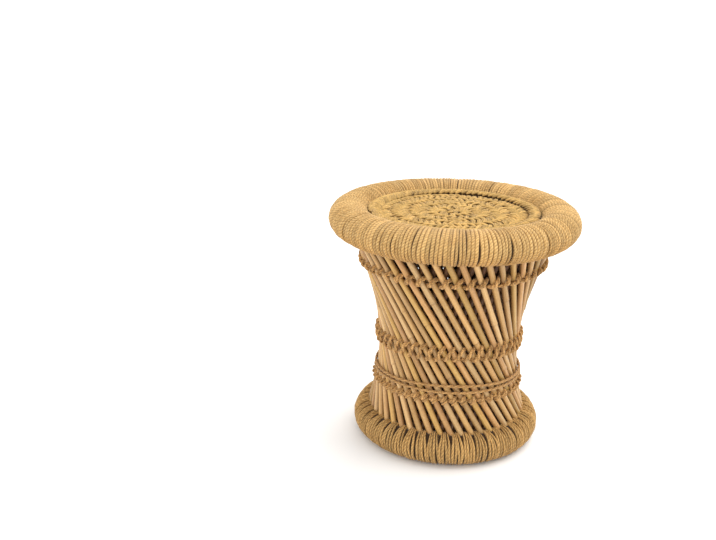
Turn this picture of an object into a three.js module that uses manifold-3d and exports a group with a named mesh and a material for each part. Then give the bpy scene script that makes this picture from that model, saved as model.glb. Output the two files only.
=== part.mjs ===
// Mudda stool, in millimetres, +Z up, standing on Z = 0 with its axis on Z.
// Two layers of straight canes lean opposite ways and cross, which gives the waisted body.
// Their ends are held between hoops inside a rim and a base ring, both bound with twine.
// The seat is woven of rope over a star of warp cords.

import * as THREE from 'three';
import { mergeVertices } from 'three/addons/utils/BufferGeometryUtils.js';
import Module from 'manifold-3d';

// Overall sizes
const stoolHeight = 350;
const rimOuterDiameter = 355;
const waistLevel = 136;

// Clearances
const restGap = 0.3;
const layerGap = 0.7;
const slotGap = 0.35;

// Canes
const caneCount = 48;
const caneDiameter = 9;
const waistDiameter = 202.8;
const caneTopDepth = 12;
const caneBottomLevel = 13;
const caneNodeHeight = 3;
const caneNodeSwell = 0.45;
const caneSides = 6;
const innerCaneSides = 5;
const caneNodeShares = [0.34, 0.58, 0.42, 0.69, 0.26, 0.5, 0.62];

// Rim and base rings, each an oval tube of twine wraps with a slot for canes and hoops
const rimWidth = 58;
const rimTubeHeight = 48;
const rimWraps = 144;
const baseWidth = 48;
const baseTubeHeight = 47;
const baseInset = 5;
const baseFlatDepth = 0.5;
const wrapGrooveDepth = 1.2;
const bundleGrooveDepth = 2.4;
const bundleRings = 3;
const bundleLipShare = 0.16;
const bundleFootShare = 0.34;
const slotRings = 24;
const rimOutlinePoints = 8;
const baseInnerOutlinePoints = 3;
const baseOuterOutlinePoints = 5;

// Hoops inside the rings, each with its height over the middle of its ring
const rimOuterHoopDiameter = 14;
const rimOuterHoopRise = -6;
const rimInnerHoopDiameter = 9;
const rimInnerHoopRise = 4;
const baseOuterHoopDiameter = 7;
const baseOuterHoopRise = 4;
const baseInnerHoopDiameter = 9;
const baseInnerHoopRise = 1;
const hoopBite = 1;
const hoopSides = 5;
const outerHoopSegments = 30;

// Twinings round the outer canes, placed from the top of the stool and from its waist
const upperTwiningDepth = 77;
const middleTwiningRise = 29;
const lowerTwiningDrop = 42.5;
const upperTwining = { level: stoolHeight - upperTwiningDepth, lift: 4.5, thickness: 5, height: 8 };
const middleTwining = { level: waistLevel + middleTwiningRise, lift: 6, thickness: 5, height: 7.5 };
const lowerTwining = { level: waistLevel - lowerTwiningDrop, lift: 2.2, thickness: 5.5, height: 6.5 };
const twiningSides = 4;
const knotSwell = 1.2;

// Waist rope, one cord wound twice round
const ropeDiameter = 4.5;
const ropeDrop = 27.7;
const ropePitch = 5.2;
const ropeSpread = 4.4;
const ropeTurns = 2;
const ropeStepsPerTurn = 24;
const ropeSides = 6;
const ropeDropShare = 0.12;

// Seat
const braidWidth = 18.6;
const braidHeight = 13;
const braidDepth = 15;
const braidPlaits = 27;
const braidDip = 1.2;
const braidSides = 6;
const seatSink = 4;
const weaveRounds = 6;
const weaveRidge = 1.6;
const weaveSegments = 30;
const warpCount = 24;
const warpDiameter = 5;
const warpHubDiameter = 42;
const warpSides = 5;

// Values worked out from the sizes above
const upAxis = new THREE.Vector3(0, 0, 1);
const latheAxis = new THREE.Vector3(0, 1, 0);
const fullTurn = 2 * Math.PI;
const canePitch = fullTurn / caneCount;
const caneTopLevel = stoolHeight - caneTopDepth;
const ropeLevel = waistLevel - ropeDrop;
const braidLevel = stoolHeight - braidDepth;
const outerWaistRadius = waistDiameter / 2 - caneDiameter / 2;
const rim = {
  radius: rimOuterDiameter / 2 - rimWidth / 2,
  level: stoolHeight - rimTubeHeight / 2,
  halfWidth: rimWidth / 2,
  halfHeight: rimTubeHeight / 2,
  grooveDepth: wrapGrooveDepth,
};

// One layer of canes: straight lines that touch the waist circle and lean along it
const outerLayer = { waistRadius: outerWaistRadius, lean: 0 };
outerLayer.lean = Math.sqrt(rim.radius ** 2 - outerWaistRadius ** 2) / (rim.level - waistLevel);

function layerRadius(layer, level) {
  return Math.hypot(layer.waistRadius, layer.lean * (level - waistLevel));
}

function layerSlope(layer, level) {
  return (layer.lean ** 2 * (level - waistLevel)) / layerRadius(layer, level);
}

function innerCaneLayer() {
  const spacing = caneDiameter + layerGap;
  const waistRadius = outerWaistRadius - spacing;
  const topSpacing = spacing * Math.hypot(1, layerSlope(outerLayer, caneTopLevel));
  const topRadius = layerRadius(outerLayer, caneTopLevel) - topSpacing;
  const reach = caneTopLevel - waistLevel;
  return { waistRadius, lean: -Math.sqrt(topRadius ** 2 - waistRadius ** 2) / reach };
}

const innerLayer = innerCaneLayer();

// Half of a cane's width, measured level along the radius
function caneReach(layer, level) {
  return (caneDiameter / 2) * Math.hypot(1, layerSlope(layer, level));
}

function outerFace(level) {
  return layerRadius(outerLayer, level) + caneReach(outerLayer, level);
}

function innerFace(level) {
  return layerRadius(innerLayer, level) - caneReach(innerLayer, level);
}

// Radius at which something as thick as the given size rests on the outer canes, for a ring of
// straight steps
function restRadius(level, thickness, steps) {
  const away = (caneDiameter / 2 + restGap + thickness / 2) * Math.hypot(1, layerSlope(outerLayer, level));
  return (layerRadius(outerLayer, level) + away) / Math.cos(Math.PI / steps);
}

function canePoint(layer, turn, level) {
  const along = -layer.lean * (level - waistLevel);
  return new THREE.Vector3(layer.waistRadius, along, level).applyAxisAngle(upAxis, turn);
}

function caneAzimuth(layer, level) {
  return Math.atan2(-layer.lean * (level - waistLevel), layer.waistRadius);
}

const base = {
  radius: 0,
  level: baseTubeHeight / 2 - baseFlatDepth,
  halfWidth: baseWidth / 2,
  halfHeight: baseTubeHeight / 2,
  grooveDepth: bundleGrooveDepth,
};
base.radius = layerRadius(outerLayer, base.level) - baseInset;

const rimHoops = {
  outer: { level: rim.level + rimOuterHoopRise, diameter: rimOuterHoopDiameter },
  inner: { level: rim.level + rimInnerHoopRise, diameter: rimInnerHoopDiameter },
};
const baseHoops = {
  outer: { level: base.level + baseOuterHoopRise, diameter: baseOuterHoopDiameter },
  inner: { level: base.level + baseInnerHoopRise, diameter: baseInnerHoopDiameter },
};

function outerHoopRadius(hoop) {
  return restRadius(hoop.level, hoop.diameter, outerHoopSegments);
}

function innerHoopRadius(hoop) {
  return innerFace(hoop.level) + hoopBite - hoop.diameter / 2;
}

// Materials
function twine(color) {
  return new THREE.MeshStandardMaterial({ color, roughness: 0.9, metalness: 0 });
}

function bamboo(color) {
  return new THREE.MeshStandardMaterial({ color, roughness: 0.55, metalness: 0 });
}

const caneColors = [0xd7b487, 0xcdb45f, 0xc9a46c, 0xdcbf94, 0xc2a35a];

// Solids
const wasm = await Module();
wasm.setup();

function welded(geometry) {
  const bare = geometry.clone();
  bare.deleteAttribute('normal');
  bare.deleteAttribute('uv');
  return mergeVertices(bare);
}

function toManifold(geometry) {
  const closed = welded(geometry);
  const vertProperties = new Float32Array(closed.attributes.position.array);
  const triVerts = new Uint32Array(closed.index.array);
  return new wasm.Manifold(new wasm.Mesh({ numProp: 3, vertProperties, triVerts }));
}

function fromManifold(solid) {
  const mesh = solid.getMesh();
  return geometryOf(mesh.vertProperties, mesh.triVerts);
}

function geometryOf(positions, indices) {
  const geometry = new THREE.BufferGeometry();
  geometry.setAttribute('position', new THREE.BufferAttribute(new Float32Array(positions), 3));
  geometry.setIndex(Array.from(indices));
  geometry.computeVertexNormals();
  return geometry;
}

const stool = new THREE.Group();

function addPiece(name, geometry, material) {
  const mesh = new THREE.Mesh(geometry, material);
  mesh.name = name;
  stool.add(mesh);
  return mesh;
}

// A ring whose outline points may move from one step to the next. outlineAt gives a list of
// { radius, level, turn } anticlockwise in the plane of radius and level.
function ringGeometry(steps, outlineAt) {
  const positions = [];
  const indices = [];
  let points = 0;
  for (let step = 0; step < steps; step += 1) {
    const outline = outlineAt(step);
    points = outline.length;
    outline.forEach((point) => positions.push(...aroundAxis(point)));
  }
  for (let step = 0; step < steps; step += 1) {
    const here = step * points;
    const there = ((step + 1) % steps) * points;
    for (let index = 0; index < points; index += 1) {
      const next = (index + 1) % points;
      indices.push(here + index, there + index, there + next);
      indices.push(here + index, there + next, here + next);
    }
  }
  return geometryOf(positions, indices);
}

function aroundAxis({ radius, level, turn }) {
  return [radius * Math.cos(turn), radius * Math.sin(turn), level];
}

// Oval points from one angle to another
function arcAngles(from, to, count) {
  return Array.from({ length: count }, (_, index) => from + ((to - from) * index) / (count - 1));
}

function ovalPoint(ring, angle, inset) {
  const radius = ring.radius + (ring.halfWidth - inset) * Math.cos(angle);
  const level = ring.level + (ring.halfHeight - inset) * Math.sin(angle);
  return { radius, level };
}

// A lip of the slot for the canes: the first angle at which the binding clears the cane layer,
// going away from where the layer crosses the ring
function lipAngle(ring, from, direction, isClear) {
  const angleStep = Math.PI / 360;
  let angle = from;
  while (!isClear(ovalPoint(ring, angle, 0)) || !isClear(ovalPoint(ring, angle, ring.grooveDepth))) {
    angle += direction * angleStep;
  }
  return angle;
}

const slotChordShare = Math.cos(Math.PI / slotRings);

function clearOutside({ radius, level }) {
  return radius * slotChordShare > outerFace(level) + slotGap;
}

function clearInside({ radius, level }) {
  return radius < innerFace(level) - slotGap;
}

// The slot round hoops and cane ends, from its outer lip to its inner lip. The canes end at
// endLevel, and upwards is 1 where they end above the lips and -1 where they end below.
function slotOutline(hoops, endLevel, upwards) {
  const outside = (radius, level) => ({ radius: (radius + slotGap) / slotChordShare, level });
  const inside = (radius, level) => ({ radius: radius - slotGap, level });
  const beyond = (hoop) => upwards * (hoop.diameter / 2 + slotGap);
  const endRise = (caneDiameter / 2) * Math.sin(Math.atan(outerLayer.lean));
  const cap = endLevel + upwards * (endRise + slotGap);
  const nearLip = hoops.outer.level - beyond(hoops.outer);
  const outerSide = outerHoopRadius(hoops.outer) + hoops.outer.diameter / 2;
  const innerSide = innerHoopRadius(hoops.inner) - hoops.inner.diameter / 2;
  return [
    outside(outerFace(nearLip), nearLip),
    outside(outerSide, nearLip),
    outside(outerSide, hoops.outer.level + beyond(hoops.outer)),
    outside(outerFace(endLevel), cap),
    inside(innerFace(endLevel), cap),
    inside(innerSide, hoops.inner.level + beyond(hoops.inner)),
    inside(innerSide, hoops.inner.level - beyond(hoops.inner)),
  ];
}

// A binding: many rings outside, few round the slot, joined along the slot's two lips
function bindingGeometry(outside, outsideRings, slot, slotStart) {
  const positions = [];
  const indices = [];
  const outsidePoints = outside(0).length;
  const slotPoints = slot.length;
  const firstSlotPoint = outsideRings * outsidePoints;
  for (let ring = 0; ring < outsideRings; ring += 1) {
    outside(ring).forEach((point) => positions.push(...aroundAxis(point)));
  }
  for (let ring = 0; ring < slotRings; ring += 1) {
    const turn = slotStart + (fullTurn * ring) / slotRings;
    slot.forEach((point) => positions.push(...aroundAxis({ ...point, turn })));
  }
  const fine = (ring, index) => (ring % outsideRings) * outsidePoints + index;
  const coarse = (ring, index) => firstSlotPoint + (ring % slotRings) * slotPoints + index;
  addStrips(indices, outsideRings, outsidePoints, fine);
  addStrips(indices, slotRings, slotPoints, coarse);
  const ratio = outsideRings / slotRings;
  const half = Math.floor(ratio / 2);
  const endOfOutside = (ring) => fine(ring, outsidePoints - 1);
  const endOfSlot = (ring) => coarse(ring, slotPoints - 1);
  for (let ring = 0; ring < slotRings; ring += 1) {
    for (let step = 0; step < ratio; step += 1) {
      const here = ring * ratio + step;
      const nearest = step < half ? ring : ring + 1;
      indices.push(endOfOutside(here), endOfOutside(here + 1), coarse(nearest, 0));
      indices.push(endOfSlot(nearest), fine(here + 1, 0), fine(here, 0));
    }
    const middle = ring * ratio + half;
    indices.push(endOfOutside(middle), coarse(ring + 1, 0), coarse(ring, 0));
    indices.push(endOfSlot(ring), endOfSlot(ring + 1), fine(middle, 0));
  }
  return geometryOf(positions, indices);
}

function addStrips(indices, rings, points, at) {
  for (let ring = 0; ring < rings; ring += 1) {
    for (let index = 0; index < points - 1; index += 1) {
      indices.push(at(ring, index), at(ring + 1, index), at(ring + 1, index + 1));
      indices.push(at(ring, index), at(ring + 1, index + 1), at(ring, index + 1));
    }
  }
}

// Rim binding: a crest and a groove for each wrap
const slotAside = Math.PI / 12;
const rimOuterLip = lipAngle(rim, -Math.PI / 2 - slotAside, 1, clearOutside);
const rimInnerLip = lipAngle(rim, -Math.PI / 2 - slotAside, -1, clearInside) + fullTurn;
const rimAngles = arcAngles(rimOuterLip, rimInnerLip, rimOutlinePoints);

function rimBinding() {
  const outsideRings = rimWraps * 2;
  const outside = (step) => {
    const turn = (fullTurn * step) / outsideRings;
    const inset = step % 2 === 0 ? 0 : wrapGrooveDepth;
    return rimAngles.map((angle) => ({ ...ovalPoint(rim, angle, inset), turn }));
  };
  const slot = slotOutline(rimHoops, caneTopLevel, 1).reverse();
  return bindingGeometry(outside, outsideRings, slot, 0);
}

// Base binding: a bundle of wraps between each two canes, narrow at the canes and wide below.
// The crests are cut flat where the stool stands.
function baseBinding() {
  const outerLip = lipAngle(base, Math.PI / 2 + slotAside, -1, clearOutside) + fullTurn;
  const innerLip = lipAngle(base, Math.PI / 2 + slotAside, 1, clearInside);
  const lowest = (3 * Math.PI) / 2;
  const flatHalfAngle = Math.acos(base.level / base.halfHeight);
  const innerAngles = arcAngles(innerLip, lowest - flatHalfAngle, baseInnerOutlinePoints);
  const outerAngles = arcAngles(lowest + flatHalfAngle, outerLip, baseOuterOutlinePoints);
  const angles = [...innerAngles, ...outerAngles];
  const lipLevel = ovalPoint(base, outerLip, 0).level;
  const bundleStart = caneAzimuth(outerLayer, lipLevel) + canePitch / 2;
  const outsideRings = caneCount * bundleRings;
  const outside = (step) => {
    const bundle = Math.floor(step / bundleRings);
    const side = (step % bundleRings) - 1;
    const inset = side === -1 ? bundleGrooveDepth : 0;
    return angles.map((angle) => {
      const point = ovalPoint(base, angle, inset);
      const down = THREE.MathUtils.clamp(1 - point.level / lipLevel, 0, 1);
      const spread = THREE.MathUtils.lerp(bundleLipShare, bundleFootShare, down);
      const offset = side === -1 ? -1 / 2 : (2 * side - 1) * spread;
      return { ...point, turn: bundleStart + (bundle + offset) * canePitch };
    });
  };
  const slot = slotOutline(baseHoops, caneBottomLevel, -1);
  return bindingGeometry(outside, outsideRings, slot, bundleStart - canePitch / 2);
}

// Canes: round rods with one swollen node, each laid from its foot to its head
function caneGeometry(length, nodeShare) {
  const radius = caneDiameter / 2;
  const node = length * nodeShare;
  const outline = [
    new THREE.Vector2(0, 0),
    new THREE.Vector2(radius, 0),
    new THREE.Vector2(radius, node - caneNodeHeight),
    new THREE.Vector2(radius + caneNodeSwell, node),
    new THREE.Vector2(radius, node + caneNodeHeight),
    new THREE.Vector2(radius, length),
    new THREE.Vector2(0, length),
  ];
  return new THREE.LatheGeometry(outline, caneSides);
}

function layCane(object, foot, head) {
  object.position.copy(foot);
  object.quaternion.setFromUnitVectors(latheAxis, head.clone().sub(foot).normalize());
}

function addOuterCanes() {
  for (let index = 0; index < caneCount; index += 1) {
    const turn = index * canePitch;
    const foot = canePoint(outerLayer, turn, caneBottomLevel);
    const head = canePoint(outerLayer, turn, caneTopLevel);
    const share = caneNodeShares[index % caneNodeShares.length];
    const name = `outer_cane_${String(index + 1).padStart(2, '0')}`;
    const color = caneColors[index % caneColors.length];
    const mesh = addPiece(name, caneGeometry(foot.distanceTo(head), share), bamboo(color));
    layCane(mesh, foot, head);
  }
}

// Hoops, each with a corner of its outline towards the canes
function hoopGeometry({ level, diameter }, radius, segments, inward) {
  const outline = [];
  for (let side = 0; side <= hoopSides; side += 1) {
    const angle = inward + (fullTurn * (side % hoopSides)) / hoopSides;
    const reach = (diameter / 2) * Math.cos(angle);
    outline.push(new THREE.Vector2(radius + reach, level + (diameter / 2) * Math.sin(angle)));
  }
  return new THREE.LatheGeometry(outline, segments).rotateX(Math.PI / 2);
}

function outerHoop(hoop) {
  const inward = Math.PI - Math.atan(layerSlope(outerLayer, hoop.level));
  return hoopGeometry(hoop, outerHoopRadius(hoop), outerHoopSegments, inward);
}

function innerHoop(hoop) {
  return hoopGeometry(hoop, innerHoopRadius(hoop), caneCount, 0);
}

// Inner canes, fused with the two inner hoops that carry them
function innerCaneFrame() {
  const rimHoop = toManifold(innerHoop(rimHoops.inner));
  const baseHoop = toManifold(innerHoop(baseHoops.inner));
  let frame = rimHoop.add(baseHoop);
  const rod = new THREE.Object3D();
  for (let index = 0; index < caneCount; index += 1) {
    const turn = index * canePitch;
    const foot = canePoint(innerLayer, turn, caneBottomLevel);
    const head = canePoint(innerLayer, turn, caneTopLevel);
    const length = foot.distanceTo(head);
    const geometry = new THREE.CylinderGeometry(caneDiameter / 2, caneDiameter / 2, length, innerCaneSides);
    geometry.translate(0, length / 2, 0);
    layCane(rod, foot, head);
    rod.updateMatrix();
    frame = frame.add(toManifold(geometry.applyMatrix4(rod.matrix)));
  }
  return fromManifold(frame);
}

// Twinings: a band that climbs over each cane and drops between two, thicker on the cane
function twiningGeometry({ level, lift, thickness, height }) {
  const stepsPerCane = 2;
  const quarterPitch = canePitch / 4;
  return ringGeometry(caneCount * stepsPerCane, (step) => {
    const cane = Math.floor(step / stepsPerCane);
    const rising = step % stepsPerCane === 1;
    const middle = level + (rising ? lift : -lift);
    const tilt = Math.atan(layerSlope(outerLayer, middle));
    const offset = rising ? quarterPitch : -quarterPitch;
    const turn = caneAzimuth(outerLayer, level) + cane * canePitch + offset;
    const fullThickness = thickness + (rising ? knotSwell : 0);
    const centre = restRadius(middle, fullThickness, caneCount * stepsPerCane);
    return Array.from({ length: twiningSides }, (_, side) => {
      const angle = Math.PI + (fullTurn * side) / twiningSides;
      const out = (fullThickness / 2) * Math.cos(angle);
      const up = (height / 2) * Math.sin(angle);
      const radius = centre + out * Math.cos(tilt) + up * Math.sin(tilt);
      return { radius, level: middle - out * Math.sin(tilt) + up * Math.cos(tilt), turn };
    });
  });
}

// Waist rope: two turns that part at the front and change places at the back
const ropeBackTurn = Math.PI / 2;
const ropeFrontTurn = -Math.PI / 2;

class WaistRopeCurve extends THREE.Curve {
  getPoint(share) {
    const travel = share * (ropeTurns - ropeDropShare) * fullTurn;
    const turn = ropeBackTurn + travel;
    const drop = THREE.MathUtils.smoothstep(travel / fullTurn, 1 - ropeDropShare, 1);
    const fromFront = turn - ropeFrontTurn;
    const apart = Math.max(0, Math.cos(fromFront)) ** 4;
    const half = ropePitch / 2 + (ropeSpread / 2) * apart;
    const level = ropeLevel + half * (1 - 2 * drop);
    const radius = restRadius(level, ropeDiameter, ropeStepsPerTurn);
    return new THREE.Vector3(radius * Math.cos(turn), radius * Math.sin(turn), level);
  }
}

function waistRope() {
  const section = new THREE.Shape();
  for (let side = 0; side < ropeSides; side += 1) {
    const angle = (fullTurn * side) / ropeSides;
    const across = (ropeDiameter / 2) * Math.cos(angle);
    const up = (ropeDiameter / 2) * Math.sin(angle);
    if (side === 0) {
      section.moveTo(across, up);
    } else {
      section.lineTo(across, up);
    }
  }
  const steps = ropeTurns * ropeStepsPerTurn;
  const path = new WaistRopeCurve();
  reportRopeGap(path, steps);
  return new THREE.ExtrudeGeometry(section, { steps, extrudePath: path, bevelEnabled: false });
}

// Least gap between the two turns, measured on points of the route
function reportRopeGap(path, steps) {
  const samplesPerStep = 8;
  const points = path.getPoints(steps * samplesPerStep);
  const farAlong = (ropeStepsPerTurn * samplesPerStep) / 4;
  let least = Infinity;
  for (let first = 0; first < points.length; first += 1) {
    for (let second = first + farAlong; second < points.length; second += 1) {
      least = Math.min(least, points[first].distanceTo(points[second]));
    }
  }
  console.log(`waist rope, least gap to itself ${(least - ropeDiameter).toFixed(2)} mm`);
}

// The rim binding's inner flank at one level, on the straight steps of its outline
function rimFlank(level) {
  const outline = rimAngles.map((angle) => ovalPoint(rim, angle, 0));
  const isBelow = (point, index) => index > 0 && outline[index - 1].level > level && point.level <= level;
  const below = outline.findIndex(isBelow);
  const [high, low] = [outline[below - 1], outline[below]];
  const share = (level - low.level) / (high.level - low.level);
  return THREE.MathUtils.lerp(low.radius, high.radius, share);
}

// Seat edge braid, seated against that flank
const braidRadius = rimFlank(braidLevel) - restGap - braidWidth / 2;
const braidSteps = braidPlaits * 2;

function seatEdgeBraid() {
  return ringGeometry(braidSteps, (step) => {
    const turn = (fullTurn * step) / braidSteps;
    const dip = step % 2 === 0 ? 0 : braidDip;
    return Array.from({ length: braidSides }, (_, side) => {
      const angle = (fullTurn * side) / braidSides;
      const radius = braidRadius + (braidWidth / 2) * Math.cos(angle);
      const top = Math.sin(angle) > 0;
      const level = braidLevel + (braidHeight / 2 - (top ? dip : 0)) * Math.sin(angle);
      return { radius, level, turn };
    });
  });
}

// Seat weave: rounds of rope, ridge and groove, on a flat underside
const weaveTopLevel = braidLevel + braidHeight / 2 - seatSink;
const weaveBottomLevel = braidLevel - braidHeight / 2;

function seatWeave() {
  const outerRadius = (braidRadius - braidWidth / 2) * Math.cos(Math.PI / braidSteps) - restGap;
  const roundWidth = outerRadius / weaveRounds;
  const outline = [new THREE.Vector2(0, weaveBottomLevel)];
  outline.push(new THREE.Vector2(outerRadius, weaveBottomLevel));
  for (let round = weaveRounds; round > 0; round -= 1) {
    outline.push(new THREE.Vector2(round * roundWidth, weaveTopLevel - weaveRidge));
    outline.push(new THREE.Vector2((round - 1 / 2) * roundWidth, weaveTopLevel));
  }
  outline.push(new THREE.Vector2(0, weaveTopLevel - weaveRidge));
  return new THREE.LatheGeometry(outline, weaveSegments).rotateX(Math.PI / 2);
}

// Seat warp: cords from a knot in the middle to the rim, under the weave
function seatWarp() {
  const level = weaveBottomLevel - restGap - warpDiameter / 2;
  const length = rim.radius - rim.halfWidth - restGap;
  const hub = new THREE.CylinderGeometry(warpHubDiameter / 2, warpHubDiameter / 2, warpDiameter, warpCount);
  let star = toManifold(hub.rotateX(Math.PI / 2).translate(0, 0, level));
  for (let index = 0; index < warpCount; index += 1) {
    const cord = new THREE.CylinderGeometry(warpDiameter / 2, warpDiameter / 2, length, warpSides);
    cord.rotateZ(-Math.PI / 2).translate(length / 2, 0, level).rotateZ((fullTurn * index) / warpCount);
    star = star.add(toManifold(cord));
  }
  return fromManifold(star);
}

addOuterCanes();
addPiece('inner_cane_frame', innerCaneFrame(), bamboo(0xb08a58));
addPiece('rim_outer_hoop', outerHoop(rimHoops.outer), bamboo(0xb9925c));
addPiece('base_outer_hoop', outerHoop(baseHoops.outer), bamboo(0xb9925c));
addPiece('rim_binding', rimBinding(), twine(0xdeba7d));
addPiece('base_binding', baseBinding(), twine(0xbe965f));
addPiece('upper_twining', twiningGeometry(upperTwining), twine(0xc9a266));
addPiece('middle_twining', twiningGeometry(middleTwining), twine(0xc9a05f));
addPiece('lower_twining', twiningGeometry(lowerTwining), twine(0xbf975c));
addPiece('waist_rope', waistRope(), twine(0xc79d62));
addPiece('seat_edge_braid', seatEdgeBraid(), twine(0xd8b57c));
addPiece('seat_weave', seatWeave(), twine(0xcfab72));
addPiece('seat_warp', seatWarp(), twine(0xb9925c));

export default stool;
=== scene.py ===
import logging
import math
import random
from dataclasses import dataclass, field
from enum import Enum
from typing import Mapping, Sequence

import bpy
import numpy as np
from mathutils import Matrix, Vector


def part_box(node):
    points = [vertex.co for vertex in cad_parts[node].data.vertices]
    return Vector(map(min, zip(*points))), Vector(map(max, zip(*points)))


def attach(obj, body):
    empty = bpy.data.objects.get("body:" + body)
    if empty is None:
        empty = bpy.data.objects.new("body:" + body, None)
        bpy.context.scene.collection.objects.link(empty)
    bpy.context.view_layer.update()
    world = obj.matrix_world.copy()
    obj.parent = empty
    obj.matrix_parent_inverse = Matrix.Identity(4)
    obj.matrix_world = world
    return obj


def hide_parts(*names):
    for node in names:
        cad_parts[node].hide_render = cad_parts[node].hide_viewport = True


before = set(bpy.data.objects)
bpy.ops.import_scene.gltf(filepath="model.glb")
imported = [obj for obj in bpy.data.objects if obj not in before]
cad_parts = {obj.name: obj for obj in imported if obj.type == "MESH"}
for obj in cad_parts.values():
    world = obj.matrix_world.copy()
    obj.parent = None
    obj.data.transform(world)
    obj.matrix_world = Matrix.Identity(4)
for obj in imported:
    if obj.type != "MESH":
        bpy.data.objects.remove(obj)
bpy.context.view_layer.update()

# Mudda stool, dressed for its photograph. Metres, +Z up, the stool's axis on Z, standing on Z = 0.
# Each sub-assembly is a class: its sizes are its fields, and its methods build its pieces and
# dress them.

log = logging.getLogger("mudda_stool")

MM = 0.001
FULL_TURN = 2 * math.pi
TINY = 1e-12
UP = np.array([0.0, 0.0, 1.0])
LEVEL_PART = np.array([1.0, 1.0, 0.0])
ROOT = "root"
STRAND_MAP = "strand"
TONE = "tone"
JOINT = "joint"
OUTWARD = "outward"
# Dark fillings under the twine take this tone; their near-black colour is painted shade in the gaps
# between wraps and stitches.
DEPTH_SHADE_TONE = -1.0  # the tone of what lies dark under the twine
NOISE = (0.3, 0.7)  # where nearly all values of a noise lie

Color = tuple[float, float, float, float]
Span = tuple[float, float]
Numbers = np.ndarray | float
Socket = bpy.types.NodeSocket
Sockets = Mapping[str, bpy.types.NodeSocket]


class Slot(Enum):
    """The record's material slots that the dressed pieces take their finish from."""

    RIM = "rim_twine"
    BASE = "base_twine"
    TIE = "tie_twine"
    WAIST = "waist_cord"
    SEAT = "seat_twine"
    WARP = "warp_twine"
    INNER = "cane_inner"
    TAN = "cane_tan"
    GREEN = "cane_green"
    BROWN = "cane_brown"
    PALE = "cane_pale"
    STRAW = "cane_straw"


CANE_SLOTS = (Slot.TAN, Slot.GREEN, Slot.BROWN, Slot.PALE, Slot.STRAW)


# The stool's layout: the same straight cane layers and oval rings as the frame


@dataclass(frozen=True)
class CaneLayer:
    """One layer of straight canes that touch the waist circle and lean along it."""

    waist_radius: float
    lean: float
    waist_level: float
    cane_radius: float

    def radius(self, level: float) -> float:
        """Distance of the canes' centre lines from the axis at a level."""
        return math.hypot(self.waist_radius, self.lean * (level - self.waist_level))

    def slope(self, level: float) -> float:
        """How fast that distance grows with the level."""
        return self.lean**2 * (level - self.waist_level) / self.radius(level)

    def azimuth(self, level: float) -> float:
        """Azimuth of the first cane at a level."""
        return math.atan2(-self.lean * (level - self.waist_level), self.waist_radius)

    def point(self, turn: float, level: float) -> Vector:
        """A point on the centre line of one cane.

        Args:
            turn: the cane's angle round the axis from the first cane.
            level: height of the point.

        Returns:
            The point, in metres.
        """
        along = -self.lean * (level - self.waist_level)
        return Matrix.Rotation(turn, 3, "Z") @ Vector((self.waist_radius, along, level))

    def rest_radius(self, level: float, clear: float) -> float:
        """Radius of a line that runs clear of the canes' surface.

        Args:
            level: height of the line.
            clear: distance from the canes' surface to the line.

        Returns:
            The radius, in metres.
        """
        return self.radius(level) + (self.cane_radius + clear) * math.hypot(1, self.slope(level))


@dataclass(frozen=True)
class OvalRing:
    """A ring whose section is an oval, as the rim's and the base's are."""

    radius: float
    level: float
    half_width: float
    half_height: float

    def skin(self, angle: Numbers, inset: float) -> tuple[Numbers, Numbers]:
        """A line of the section that lies inside its outline.

        Args:
            angle: angles round the section, from the outward direction.
            inset: distance from the outline.

        Returns:
            Distance from the stool's axis, and level.
        """
        radius = self.radius + (self.half_width - inset) * np.cos(angle)
        return radius, self.level + (self.half_height - inset) * np.sin(angle)


@dataclass(frozen=True)
class Layout:
    """Driving sizes of the stool and what follows from them."""

    height: float = 350 * MM
    rim_diameter: float = 355 * MM
    rim_width: float = 58 * MM
    rim_tube_height: float = 48 * MM
    base_width: float = 48 * MM
    base_tube_height: float = 47 * MM
    base_inset: float = 5 * MM
    base_flat: float = 0.5 * MM
    waist_diameter: float = 202.8 * MM
    waist_level: float = 136 * MM
    cane_diameter: float = 9 * MM
    layer_gap: float = 0.7 * MM
    cane_top: float = 338 * MM
    cane_bottom: float = 13 * MM
    cane_count: int = 48
    front: float = math.radians(-96)

    def sagging(self, level: float, azimuth: Numbers, sag: float, tilt: float = 0.0) -> Numbers:
        """Level of a hand-laid row of twine, which lies lower at the sides than in front.

        Args:
            level: its level in front.
            azimuth: where it is wanted.
            sag: how much lower it lies at the sides.
            tilt: how much it rises to the right and falls to the left.

        Returns:
            The level there.
        """
        side = np.sin(azimuth - self.front)
        return level - sag * side**2 + tilt * side

    @property
    def pitch(self) -> float:
        """Angle from one cane to the next."""
        return FULL_TURN / self.cane_count

    @property
    def rim(self) -> OvalRing:
        """The rim's section.

        Returns:
            The ring.
        """
        radius = (self.rim_diameter - self.rim_width) / 2
        level = self.height - self.rim_tube_height / 2
        return OvalRing(radius, level, self.rim_width / 2, self.rim_tube_height / 2)

    @property
    def outer(self) -> CaneLayer:
        """The outer layer of canes, which passes through the middle of the rim.

        Returns:
            The layer.
        """
        waist_radius = (self.waist_diameter - self.cane_diameter) / 2
        rise = self.rim.level - self.waist_level
        lean = math.sqrt(self.rim.radius**2 - waist_radius**2) / rise
        return CaneLayer(waist_radius, lean, self.waist_level, self.cane_diameter / 2)

    @property
    def inner(self) -> CaneLayer:
        """The inner layer, which leans the other way just inside the outer one.

        Returns:
            The layer.
        """
        spacing = self.cane_diameter + self.layer_gap
        outer = self.outer
        top = outer.radius(self.cane_top) - spacing * math.hypot(1, outer.slope(self.cane_top))
        waist_radius = outer.waist_radius - spacing
        lean = -math.sqrt(top**2 - waist_radius**2) / (self.cane_top - self.waist_level)
        return CaneLayer(waist_radius, lean, self.waist_level, self.cane_diameter / 2)

    @property
    def base(self) -> OvalRing:
        """The base ring's section.

        Returns:
            The ring.
        """
        level = self.base_tube_height / 2 - self.base_flat
        radius = self.outer.radius(level) - self.base_inset
        return OvalRing(radius, level, self.base_width / 2, self.base_tube_height / 2)


# Helpers for colours, selections and strands


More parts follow.
